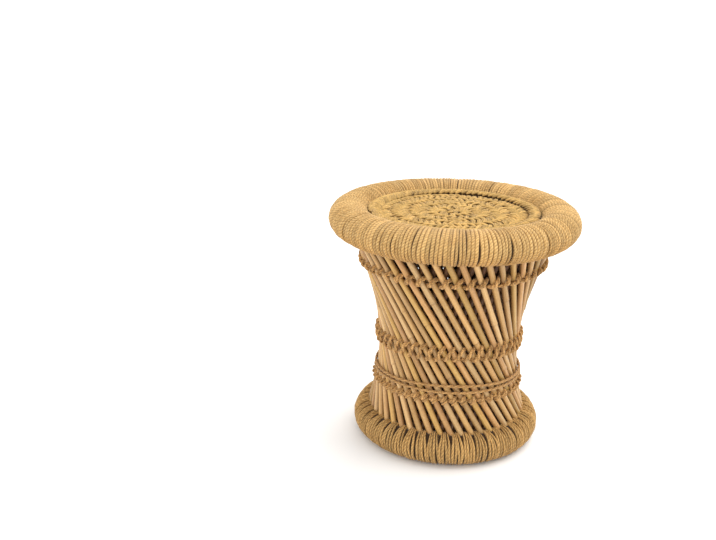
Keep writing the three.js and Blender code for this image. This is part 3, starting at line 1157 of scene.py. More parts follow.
@dataclass
class RingWinding:
    """Twine wound round an oval ring, wrap beside wrap, and gathered between the canes."""

    name: str
    node: str
    slot: Slot
    ring: OvalRing
    layout: Layout
    first_angle: float
    last_angle: float
    tail: float
    outer_lip: float
    inner_lip: float
    wraps_in_gap: Sequence[int]
    depth: float
    gather: float
    gather_from: float
    crown: float
    slant: float
    loose: float
    core_depth: float
    closeness: float = 1.05
    open_share: float = 0.05
    open_width: Span = (0.05, 0.18)
    width_change: float = 0.12
    width_factor: Span = (0.95, 1.03)
    thickness_change: float = 0.06
    inset_change: Span = (-0.25 * MM, 0.35 * MM)
    waves: Span = (1.2, 3.4)
    open_crown: float = 0.35
    core_thickness: float = 1.5 * MM
    stray: float = 0.8
    wide_gaps: Sequence[Span] = ()
    shut_from: float = math.inf
    shut_over: float = math.radians(50)
    curl: float = math.radians(0.1)
    hairs: int = 130
    hair_radius: float = 0.13 * MM
    hair_length: float = 11 * MM
    hair_tone: float = 0.9
    hair_angles: Span = (-60, 150)
    hair_steps: int = 6
    hair_reach: Span = (0.5, 1.2)
    hair_lean: float = 0.6
    hair_rise: Span = (0.6, 2.0)
    hair_stand: float = 0.4
    hair_sink: float = 0.4
    steps: int = 42
    sides: int = 8
    seed: int = 11
    floor: float | None = None

    def build(self, finishes: Finishes) -> bpy.types.Object:
        """Winds all wraps as one piece that replaces the node.

        Args:
            finishes: the stool's finishes.

        Returns:
            The piece.
        """
        chance = random.Random(self.seed)
        strands = StrandMesh(self.name)
        angles = np.linspace(self.first_angle - self.tail, self.last_angle + self.tail, self.steps)
        pitch = self.layout.pitch
        outer_start = self.layout.outer.azimuth(self._level(self.outer_lip)) + pitch / 2
        inner_start = self.layout.inner.azimuth(self._level(self.inner_lip)) + pitch / 2
        opening = smooth_step((self.shut_from - angles) / self.shut_over)
        turn = (angles - self.outer_lip) / (self.last_angle - self.first_angle)
        self._core(strands)
        for gap in range(self.layout.cane_count):
            wraps = self.wraps_in_gap[gap % len(self.wraps_in_gap)]
            middle = outer_start + gap * pitch
            inner_middle = inner_start + round((middle - inner_start) / pitch) * pitch
            widths = np.array([varied(chance, self.width_change) for _ in range(wraps)])
            spaces = self._spaces(chance, middle, wraps)
            ends = np.cumsum(widths) + np.outer(opening, np.cumsum(spaces))
            starts, total = ends - widths, ends[:, -1]
            drift = self.slant * varied(chance, self.stray) * turn
            bend = self.curl * chance.uniform(-1, 1)
            drift = drift + bend * np.sin(2 * angles + chance.uniform(0, FULL_TURN))
            middles = (middle + drift, inner_middle + drift)
            for wrap in range(wraps):
                place = (starts[:, wrap] + ends[:, wrap]) / (2 * total) - 0.5
                self._wind(strands, angles, chance, place, widths[wrap] / total, *middles)
        for _ in range(self.hairs):
            self._hair(strands, chance)
        piece = finishes.dress(strands.build(), self.slot)
        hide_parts(self.node)
        return piece

    def _hair(self, strands: StrandMesh, chance: random.Random) -> None:
        """Adds one loose hair of jute that stands off the wraps.

        Args:
            strands: the mesh that takes it.
            chance: source of its place and bend.
        """
        ring, thin = self.ring, self.hair_radius
        share = np.linspace(0, 1, self.hair_steps)
        reach = self.hair_length * chance.uniform(*self.hair_reach)
        angle = math.radians(chance.uniform(*self.hair_angles))
        angle = angle + chance.choice((-1, 1)) * reach / ring.half_height * share
        azimuth = chance.uniform(0, FULL_TURN)
        lean = chance.uniform(-self.hair_lean, self.hair_lean)
        azimuth = azimuth + lean * reach / ring.radius * share**2
        rise = share**1.5 * chance.uniform(*self.hair_rise) - self.hair_sink
        rise = self.depth * self.hair_stand * rise
        radius, level = ring.skin(angle, -rise)
        out = around_axis(np.cos(angle), azimuth, np.sin(angle))
        path = around_axis(radius, azimuth, level)
        strands.sweep(path, thin, thin, out, 3, self.hair_tone, chance.random(), self.floor)

    def _spaces(self, chance: random.Random, middle: float, wraps: int) -> np.ndarray:
        """Empty space before each wrap of one gap.

        Args:
            chance: source of its small differences.
            middle: azimuth of the gap's middle.
            wraps: number of wraps in the gap.

        Returns:
            The spaces, in wraps.
        """
        spaces = np.zeros(wraps)
        for wrap in range(wraps):
            if chance.random() < self.open_share:
                spaces[wrap] = chance.uniform(*self.open_width)
        for azimuth, space in self.wide_gaps:
            share = ((azimuth - middle + math.pi) % FULL_TURN - math.pi) / self.layout.pitch + 0.5
            if 0 <= share < 1:
                spaces[min(wraps - 1, round(share * wraps))] = space
        return spaces

    def _core(self, strands: StrandMesh) -> None:
        """Adds the dark filling that the twine is wound on, open where the canes come in; its dark
        tone is painted shade in the gaps between wraps.

        Args:
            strands: the mesh that takes it.
        """
        angles = np.linspace(self.first_angle, self.last_angle, self.steps)
        azimuths = np.linspace(0, FULL_TURN, 4 * self.layout.cane_count, endpoint=False)
        outside = self.ring.skin(angles, self.core_depth)
        inside = self.ring.skin(angles[::-1], self.core_depth + self.core_thickness)
        radius, level = np.concatenate([outside, inside], axis=1)
        rings = [around_axis(radius, np.full(len(radius), azimuth), level) for azimuth in azimuths]
        strands.shell(np.stack(rings), DEPTH_SHADE_TONE)

    def _level(self, angle: float) -> float:
        """Level of the ring's section at an angle."""
        return self.ring.level + self.ring.half_height * math.sin(angle)

    def _pull(self, angles: np.ndarray, lip: float) -> np.ndarray:
        """How strongly wraps are drawn together near a lip.

        Args:
            angles: section angles of a wrap's points.
            lip: section angle of the lip.

        Returns:
            The pull at each point, from 0 to 1.
        """
        away = np.abs(np.angle(np.exp(1j * (angles - lip))))
        return smooth_step(1 - away / self.gather_from)

    def _wind(
        self,
        strands: StrandMesh,
        angles: np.ndarray,
        chance: random.Random,
        place: np.ndarray,
        share: np.ndarray,
        middle: np.ndarray,
        inner_middle: np.ndarray,
    ) -> None:
        """Adds one wrap.

        Args:
            strands: the mesh that takes it.
            angles: section angles of its points.
            chance: source of its small differences.
            place: where it lies in its gap at each point, from -0.5 to 0.5.
            share: its share of the gap's width at each point.
            middle: azimuth of the gap's middle between the outer canes, with the group's drift.
            inner_middle: azimuth of the nearest gap between the inner canes, likewise.
        """
        pitch = self.layout.pitch
        outer_pull = self._pull(angles, self.outer_lip)
        inner_pull = self._pull(angles, self.inner_lip)
        pull = np.maximum(outer_pull, inner_pull)
        spread = 1 - (1 - self.gather) * pull
        waves = angles * chance.uniform(*self.waves) + chance.uniform(0, FULL_TURN)
        wobble = self.loose * np.sin(waves)
        azimuth = middle + (inner_middle - middle) * inner_pull
        azimuth = azimuth + pitch * spread * place + wobble / self.ring.radius
        inset = self.depth + chance.uniform(*self.inset_change)
        crown = self.open_crown + (1 - self.open_crown) * pull
        inset = inset + self.crown * (2 * place) ** 2 * crown
        radius, level = self.ring.skin(angles, inset)
        path = around_axis(radius, azimuth, level)
        out = np.cos(angles) / self.ring.half_width
        up = np.sin(angles) / self.ring.half_height
        normals = around_axis(out, azimuth, up)
        half_width = self.closeness / 2 * share * pitch * spread * radius
        half_width = half_width * chance.uniform(*self.width_factor)
        strands.sweep(
            path,
            half_width,
            self.depth * varied(chance, self.thickness_change),
            normals,
            self.sides,
            tone=chance.random(),
            start=chance.uniform(0, 1),
            floor=self.floor,
        )


# Where the photograph shows wide gaps: azimuth in degrees, and width in wraps
RIM_WIDE_GAPS = (
    (-151, 0.6), (-122, 0.2), (-94, 0.34), (-83, 0.5), (-71, 0.75), (-52, 0.5), (-38, 0.45)
)


def rim_winding(layout: Layout) -> RingWinding:
    """The rim's winding: four or five wraps to each cane, 208 in all.

    Args:
        layout: the stool's sizes.

    Returns:
        The winding, not yet built.
    """
    return RingWinding(
        name="rim_winding",
        node="rim_binding",
        slot=Slot.RIM,
        ring=layout.rim,
        layout=layout,
        first_angle=math.radians(-100),
        last_angle=math.radians(222),
        tail=math.radians(14),
        outer_lip=math.radians(-100),
        inner_lip=math.radians(222),
        wraps_in_gap=(4, 4, 5),
        depth=2.7 * MM,
        gather=0.7,
        gather_from=math.radians(48),
        crown=0.5 * MM,
        slant=math.radians(1.4),
        stray=0.4,
        loose=0.32 * MM,
        core_depth=3.4 * MM,
        wide_gaps=tuple((math.radians(azimuth), space) for azimuth, space in RIM_WIDE_GAPS),
        shut_from=math.radians(62),
    )


def base_winding(layout: Layout) -> RingWinding:
    """The base's winding: a fan of four wraps between each two canes.

    Args:
        layout: the stool's sizes.

    Returns:
        The winding, not yet built.
    """
    return RingWinding(
        name="base_winding",
        node="base_binding",
        slot=Slot.BASE,
        ring=layout.base,
        layout=layout,
        first_angle=math.radians(128),
        last_angle=math.radians(442),
        tail=math.radians(14),
        outer_lip=math.radians(442),
        inner_lip=math.radians(128),
        wraps_in_gap=(4,),
        depth=2.3 * MM,
        gather=0.7,
        gather_from=math.radians(64),
        crown=0.9 * MM,
        slant=math.radians(-2.5),
        loose=0.5 * MM,
        core_depth=3.2 * MM,
        closeness=0.96,
        open_share=0.3,
        open_width=(0.1, 0.3),
        curl=math.radians(0.15),
        steps=38,
        seed=23,
        floor=0.0,
    )


# Bamboo canes


@dataclass
class BambooRod:
    """A bamboo rod, modelled once for each place of its joint and then copied."""

    length: float
    radius: float
    sides: int = 14
    ring_spacing: float = 24 * MM
    joint_rings: Sequence[Span] = (
        (-4.0 * MM, 1.0),
        (-1.4 * MM, 1.02),
        (-0.5 * MM, 1.08),
        (0.4 * MM, 1.06),
        (1.2 * MM, 0.98),
        (4.0 * MM, 1.0),
    )
    joint_reach: float = 0.9 * MM

    def model(self, joint_share: float) -> bpy.types.Mesh:
        """Models the rod along +Z from the origin: a cylinder cut across and swollen at its joint.

        Args:
            joint_share: where the joint is, as a share of the length.

        Returns:
            Its mesh.
        """
        bpy.ops.object.select_all(action="DESELECT")
        middle = (0, 0, self.length / 2)
        bpy.ops.mesh.primitive_cylinder_add(
            vertices=self.sides,
            radius=self.radius,
            depth=self.length,
            end_fill_type="TRIFAN",
            location=middle,
        )
        rod = bpy.context.object
        bpy.ops.object.transform_apply(location=True, rotation=True, scale=True)
        joint = self.length * joint_share
        bpy.ops.object.mode_set(mode="EDIT")
        for level, swell in self._rings(joint):
            bpy.ops.mesh.select_all(action="SELECT")
            bpy.ops.mesh.bisect(plane_co=(0, 0, level), plane_no=(0, 0, 1))
            if swell != 1.0:
                bpy.ops.transform.resize(value=(swell, swell, 1), center_override=(0, 0, level))
        bpy.ops.object.mode_set(mode="OBJECT")
        mesh = rod.data
        self._map(mesh, joint)
        mesh.shade_smooth()
        kept = mesh.copy()
        bpy.data.objects.remove(rod, do_unlink=True)
        return kept

    def _rings(self, joint: float) -> list[Span]:
        """Levels of the cuts across the rod.

        Args:
            joint: level of the joint.

        Returns:
            Each level, with how much its ring swells.
        """
        last = self.length - self.ring_spacing / 2
        plain = np.arange(self.ring_spacing, last, self.ring_spacing)
        reach = max(abs(offset) for offset, _ in self.joint_rings)
        rings = [(float(level), 1.0) for level in plain if abs(level - joint) > reach]
        return rings + [(joint + offset, swell) for offset, swell in self.joint_rings]

    def _map(self, mesh: bpy.types.Mesh, joint: float) -> None:
        """Gives the rod its strand map and marks its joint.

        Args:
            mesh: the rod's mesh, along +Z.
            joint: level of the joint.
        """
        for layer in list(mesh.uv_layers):
            mesh.uv_layers.remove(layer)
        layer = mesh.uv_layers.new(name=STRAND_MAP)
        away = (points_of(mesh)[:, 2] - joint) / self.joint_reach
        mark_points(mesh, JOINT, np.exp(-away * away))
        for face in mesh.polygons:
            heading = math.atan2(face.center.y, face.center.x)
            for corner in face.loop_indices:
                place = mesh.vertices[mesh.loops[corner].vertex_index].co
                offset = math.atan2(place.y, place.x) - heading
                offset = (offset + math.pi) % FULL_TURN - math.pi
                on_axis = math.hypot(place.x, place.y) < self.radius / 2
                around = heading if on_axis else heading + offset
                layer.data[corner].uv = (place.z, around / FULL_TURN)


@dataclass
class CaneRing:
    """Places copies of bamboo rods as one layer of canes."""

    layout: Layout
    layer: CaneLayer
    bend: float
    thinness: float
    joint_shares: Sequence[float]
    sides: int = 14
    fullness: float = 1.0
    taper: float = 0.04
    tone_change: float = 0.15

    def rods(self) -> list[bpy.types.Mesh]:
        """Models one rod for each joint place.

        Returns:
            Their meshes.
        """
        foot, head = self._ends(0)
        radius = self.layer.cane_radius * self.fullness
        rod = BambooRod((head - foot).length, radius, self.sides)
        return [rod.model(share) for share in self.joint_shares]

    def _ends(self, index: int) -> list[Vector]:
        """Foot and head of one cane's centre line."""
        levels = (self.layout.cane_bottom, self.layout.cane_top)
        return [self.layer.point(index * self.layout.pitch, level) for level in levels]

    def lay(
        self, rods: Sequence[bpy.types.Mesh], index: int, name: str, chance: random.Random
    ) -> bpy.types.Object:
        """Lays a copy of a rod in its place.

        Args:
            rods: the rods' meshes, one for each joint place.
            index: number of the cane in its layer.
            name: name of the new object.
            chance: source of its small differences.

        Returns:
            The cane, at the origin with its place in its mesh.
        """
        mesh = rods[index % len(rods)].copy()
        joint = self.joint_shares[index % len(rods)]
        foot, head = self._ends(index)
        points = points_of(mesh)
        width = 1 - chance.uniform(0, self.thinness)
        share = points[:, 2] / (head - foot).length
        taper = width * (1 + chance.uniform(-self.taper, self.taper) * (share - 0.5))
        points[:, :2] *= taper[:, None]
        for axis in (0, 1):
            bow = chance.uniform(-self.bend, self.bend) * np.sin(math.pi * share)
            wave = chance.uniform(-self.bend, self.bend) * np.sin(2 * math.pi * share) / 2
            points[:, axis] += bow + wave
        mesh.vertices.foreach_set("co", points.ravel())
        direction = (head - foot).to_track_quat("Z", "Y").to_matrix().to_4x4()
        spin = Matrix.Rotation(chance.uniform(0, FULL_TURN), 4, "Z")
        place = Matrix.Translation(foot) @ direction @ spin
        mesh.transform(place)
        self._mark_outward(mesh, points, place)
        tone, change = chance.random(), chance.uniform(-self.tone_change, self.tone_change)
        mark_points(mesh, TONE, tone + change * np.where(share > joint, 1, -1))
        return new_object(name, mesh)

    def _mark_outward(self, mesh: bpy.types.Mesh, points: np.ndarray, place: Matrix) -> None:
        """Marks how far each point of a cane faces away from the stool's axis.

        Args:
            mesh: the cane's mesh, in place.
            points: its points before it was placed, along +Z.
            place: what placed them.
        """
        facing = away_from_axis(points) @ np.array(place.to_3x3()).T
        mark_points(mesh, OUTWARD, np.sum(facing * away_from_axis(points_of(mesh)), axis=1))


@dataclass
class OuterCanes:
    """The outer canes, each its own piece."""

    layout: Layout
    bend: float = 0.35 * MM
    thinness: float = 0.07
    joint_shares: Sequence[float] = (0.34, 0.58, 0.42, 0.69, 0.26, 0.5, 0.62)
    seed: int = 5

    def build(self, finishes: Finishes) -> None:
        """Lays the canes and dresses them.

        Args:
            finishes: the stool's finishes.
        """
        chance = random.Random(self.seed)
        layer = self.layout.outer
        ring = CaneRing(self.layout, layer, self.bend, self.thinness, self.joint_shares)
        rods = ring.rods()
        for index in range(self.layout.cane_count):
            number = f"{index + 1:02d}"
            cane = ring.lay(rods, index, f"cane_{number}", chance)
            finishes.dress(cane, CANE_SLOTS[index % len(CANE_SLOTS)])
            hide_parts(f"outer_cane_{number}")


@dataclass
class InnerCanes:
    """The inner canes and the two hoops that carry them, as one piece."""

    layout: Layout
    bend: float = 0.2 * MM
    thinness: float = 0.0
    fullness: float = 1.19
    joint_shares: Sequence[float] = (0.4, 0.65, 0.3)
    hoop_bite: float = 1 * MM
    rim_hoop_rise: float = 4 * MM
    base_hoop_rise: float = 1 * MM
    hoop_radius: float = 4.5 * MM
    hoop_segments: int = 90
    sides: int = 10
    seed: int = 9

    def build(self, finishes: Finishes) -> bpy.types.Object:
        """Lays the canes and hoops and joins them.

        Args:
            finishes: the stool's finishes.

        Returns:
            The piece.
        """
        chance = random.Random(self.seed)
        shape = (self.bend, self.thinness, self.joint_shares, self.sides, self.fullness)
        ring = CaneRing(self.layout, self.layout.inner, *shape)
        rods = ring.rods()
        parts = [
            ring.lay(rods, index, f"inner_rod_{index + 1:02d}", chance)
            for index in range(self.layout.cane_count)
        ]
        parts.append(self._hoop(self.layout.rim.level + self.rim_hoop_rise))
        parts.append(self._hoop(self.layout.base.level + self.base_hoop_rise))
        select_only(parts)
        bpy.ops.object.join()
        piece = bpy.context.object
        piece.name = "inner_canes"
        finishes.dress(piece, Slot.INNER)
        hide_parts("inner_cane_frame")
        return piece

    def _hoop(self, level: float) -> bpy.types.Object:
        """Models one hoop inside the inner canes.

        Args:
            level: its height.

        Returns:
            The hoop.
        """
        layer = self.layout.inner
        face = layer.radius(level) - layer.cane_radius * math.hypot(1, layer.slope(level))
        bpy.ops.mesh.primitive_torus_add(
            major_radius=face + self.hoop_bite - self.hoop_radius,
            minor_radius=self.hoop_radius,
            major_segments=self.hoop_segments,
            minor_segments=self.sides,
            location=(0, 0, level),
        )
        hoop = bpy.context.object
        bpy.ops.object.transform_apply(location=True, rotation=True, scale=True)
        hoop.data.uv_layers[0].name = STRAND_MAP
        hoop.data.shade_smooth()
        return hoop


# Twine worked round the canes


@dataclass
class Twining:
    """A row of doubled twines, each passed up over one cane or two and in behind the next."""

    name: str
    node: str
    layout: Layout
    level: float
    lift: float
    strand_radius: float
    span: int = 1
    clear: float = 0.2 * MM
    strands: int = 2
    steps_in_gap: int = 14
    orbit_share: float = 0.7
    ply_pitch: float = 15 * MM
    sag: float = 4 * MM
    tilt: float = 0.0
    collar_drop: float = 0.0
    collar_radius: float = 0.0
    collar_loops: int = 1
    collar_spacing: float = 1.7
    collar_hold: float = 0.85
    collar_squeeze: float = 0.5
    collar_tilt: Span = (0.4, 1.6)  # in millimetres
    collar_turns: float = 1.02
    collar_steps: int = 19
    uneven: float = 0.12
    radius_change: float = 0.06
    seed: int = 31

    def build(self, finishes: Finishes) -> bpy.types.Object:
        """Works the row and dresses it.

        Args:
            finishes: the stool's finishes.

        Returns:
            The piece.
        """
        chance = random.Random(self.seed)
        mesh = StrandMesh(self.name)
        for cane in range(self.layout.cane_count):
            self._pass(mesh, chance, cane)
            for loop in range(self.collar_loops if self.collar_radius > 0 else 0):
                self._collar(mesh, chance, cane, loop)
        piece = finishes.dress(mesh.build(), Slot.TIE)
        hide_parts(self.node)
        return piece

    def _pass(self, mesh: StrandMesh, chance: random.Random, cane: int) -> None:
        """Adds one pass: out from behind a cane, steeply up over the next ones and in again.

        Args:
            mesh: the mesh that takes it.
            chance: source of its small differences.
            cane: number of the first cane that it goes over.
        """
        outer = self.layout.outer
        half = self.span / 2
        travel = np.linspace(-half - 0.5, half + 0.5, (self.span + 1) * self.steps_in_gap + 1)
        beyond = np.maximum(np.abs(travel) - half, 0)
        going_in = np.sign(travel) * np.cos(math.pi * beyond)
        rise = np.where(beyond > 0, going_in, np.sin(math.pi * travel / self.span))
        lift = self.lift * varied(chance, self.uneven)
        turn = (cane + half - 0.5 + travel) * self.layout.pitch
        heading = outer.azimuth(self.level) + turn
        middle = self.layout.sagging(self.level, heading, self.sag, self.tilt)
        level = middle + chance.uniform(-0.5, 0.5) * MM + lift * rise
        reach = outer.cane_radius + (1 + self.orbit_share) * self.strand_radius + self.clear
        depth = reach * np.cos(math.pi * np.maximum(np.abs(travel) - half + 0.5, 0))
        heights = [float(height) for height in level]
        lean = np.array([outer.azimuth(height) for height in heights])
        slope = np.array([math.hypot(1, outer.slope(height)) for height in heights])
        radius = np.array([outer.radius(height) for height in heights]) + depth * slope
        azimuth = lean + turn
        path = around_axis(radius, azimuth, level)
        tangents = unit(np.gradient(path, axis=0))
        outward = around_axis(np.ones(len(travel)), azimuth, 0 * level)
        across = unit(np.cross(outward, tangents))
        start = chance.uniform(0, FULL_TURN)
        for strand in range(self.strands):
            twist = FULL_TURN * (distances(path) / self.ply_pitch + strand / self.strands) + start
            lean = turned(outward, across, twist)
            mesh.sweep(
                path + lean * self.orbit_share * self.strand_radius,
                self.strand_radius * varied(chance, self.radius_change),
                self.strand_radius * varied(chance, self.radius_change),
                lean,
                tone=chance.random(),
                start=chance.uniform(0, 1),
            )

    def _collar(self, mesh: StrandMesh, chance: random.Random, cane: int, loop: int) -> None:
        """Adds a loop of twine tight round one cane, under the row.

        Args:
            mesh: the mesh that takes it.
            chance: source of its small differences.
            cane: number of the cane.
            loop: number of the loop, counted down the cane.
        """
        outer = self.layout.outer
        turn = cane * self.layout.pitch
        drop = self.collar_drop + self.collar_spacing * self.collar_radius * loop
        row_level = self.layout.sagging(self.level, outer.azimuth(self.level) + turn, self.sag)
        level = row_level - drop - chance.uniform(-0.4, 0.4) * MM
        middle = np.array(outer.point(turn, level))
        axis = unit(np.array(outer.point(turn, level + 1 * MM)) - middle)
        outward = away_from_axis(middle)
        outward = unit(outward - axis * float(outward @ axis))
        sideways = np.cross(axis, outward)
        angles = np.linspace(0, FULL_TURN * self.collar_turns, self.collar_steps) + math.pi
        squeeze = 1 - self.collar_squeeze * np.abs(np.sin(angles))
        ring = turned(outward, sideways, angles)
        reach = outer.cane_radius + self.collar_radius * self.collar_hold * squeeze
        tilt = axis * (chance.uniform(*self.collar_tilt) * MM * np.sin(angles))[:, None]
        mesh.sweep(
            middle + ring * reach[:, None] + tilt,
            self.collar_radius,
            self.collar_radius * squeeze,
            ring,
            sides=7,
            tone=chance.random(),
            start=chance.uniform(0, 1),
        )


@dataclass
class WaistCord:
    """One two-ply cord wound twice round the waist, its turns apart at the front."""

    layout: Layout
    diameter: float = 4.5 * MM
    drop: float = 27.7 * MM
    pitch: float = 5.2 * MM
    spread: float = 4.4 * MM
    turns: float = 2.0
    drop_share: float = 0.12
    clear: float = 0.3 * MM
    ply_pitch: float = 21 * MM
    ply_radius: float = 1.6 * MM
    ply_orbit: float = 0.45 * MM
    step: float = 1.3 * MM
    ply_tones: Span = (0.4, 0.6)
    route_steps: int = 1200
    tuck: float = 9 * MM
    tuck_share: float = 0.008
    sag: float = 4 * MM

    def route(self) -> np.ndarray:
        """Lays the cord's centre line from the back, twice round the waist.

        Returns:
            Its points.
        """
        share = np.linspace(0, 1, self.route_steps)
        travel = share * (self.turns - self.drop_share) * FULL_TURN
        azimuth = math.pi / 2 + travel
        falling = smooth_step((travel / FULL_TURN - (1 - self.drop_share)) / self.drop_share)
        apart = np.maximum(0, np.cos(azimuth + math.pi / 2)) ** 4
        half = self.pitch / 2 + self.spread / 2 * apart
        level = self.layout.sagging(self.layout.waist_level - self.drop, azimuth, self.sag)
        level = level + half * (1 - 2 * falling)
        outer = self.layout.outer
        clear = self.clear + self.diameter / 2
        radius = np.array([outer.rest_radius(float(height), clear) for height in level])
        tucked = smooth_step((np.abs(share - 0.5) - (0.5 - self.tuck_share)) / self.tuck_share)
        return around_axis(radius - self.tuck * tucked, azimuth, level)

    def build(self, finishes: Finishes) -> bpy.types.Object:
        """Lays the cord's two plies and dresses it.

        Args:
            finishes: the stool's finishes.

        Returns:
            The piece.
        """
        route = self.route()
        along = distances(route)
        count = int(along[-1] / self.step)
        places = np.linspace(0, along[-1], count)
        path = np.stack([np.interp(places, along, route[:, axis]) for axis in range(3)], axis=1)
        outward = away_from_axis(path)
        tangents = unit(np.gradient(path, axis=0))
        across = unit(np.cross(outward, tangents))
        mesh = StrandMesh("waist_cord")
        for ply, tone in enumerate(self.ply_tones):
            lean = turned(outward, across, FULL_TURN * places / self.ply_pitch + ply * math.pi)
            line = path + lean * self.ply_orbit
            mesh.sweep(line, self.ply_radius, self.ply_radius, lean, tone=tone)
        piece = finishes.dress(mesh.build(), Slot.WAIST)
        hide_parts("waist_rope")
        return piece


# The woven seat


@dataclass
class StitchWork:
    """Leaf-shaped stitches of a few fine parallel twines, laid over the rounds of the seat."""

    strand_radius: float
    strands: int
    steps: int = 9
    sides: int = 6
    overlap: float = 1.03
    tone_change: float = 0.25
    side_shade: float = 0.42
    side_drop: float = 0.35
    pinch: float = 0.4
    leaf_power: float = 0.8
    tones: Span = (-0.5, 1.0)

    def stitch(
        self,
        mesh: StrandMesh,
        radius: np.ndarray,
        azimuth: np.ndarray,
        level: np.ndarray,
        chance: random.Random,
    ) -> None:
        """Adds one stitch along a line.

        Args:
            mesh: the mesh that takes it.
            radius: distances of the line's points from the axis.
            azimuth: their angles.
            level: their heights.
            chance: source of its small differences.
        """
        path = around_axis(radius, azimuth, level)
        tangents = unit(np.gradient(path, axis=0))
        up = upward(len(path))
        across = unit(np.cross(up, tangents))
        share = np.linspace(0, 1, len(path))
        leaf = self.pinch + (1 - self.pinch) * np.sin(math.pi * share) ** self.leaf_power
        tone, (darkest, lightest) = chance.random(), self.tones
        for strand in range(self.strands):
            seat = strand - (self.strands - 1) / 2
            offset = seat * 2 * self.strand_radius * self.overlap * leaf
            drop = self.side_drop * self.strand_radius * seat * seat
            shade = chance.uniform(-self.tone_change, self.tone_change)
            # The outer strands of each stitch are made darker: painted shade between the stitches.
            shade = shade - self.side_shade * abs(seat)
            mesh.sweep(
                path + across * offset[:, None] - up * drop,
                self.strand_radius,
                self.strand_radius,
                up,
                self.sides,
                tone=min(lightest, max(darkest, tone + shade)),
                start=chance.uniform(0, 1),
            )


# Holes between the seat's stitches: azimuth in degrees, and millimetres from the axis
SEAT_HOLES = (
    (118, 78), (116, 60), (210, 35), (246, 18), (95, 24), (320, 26), (250, 68), (282, 64), (30, 70)
)


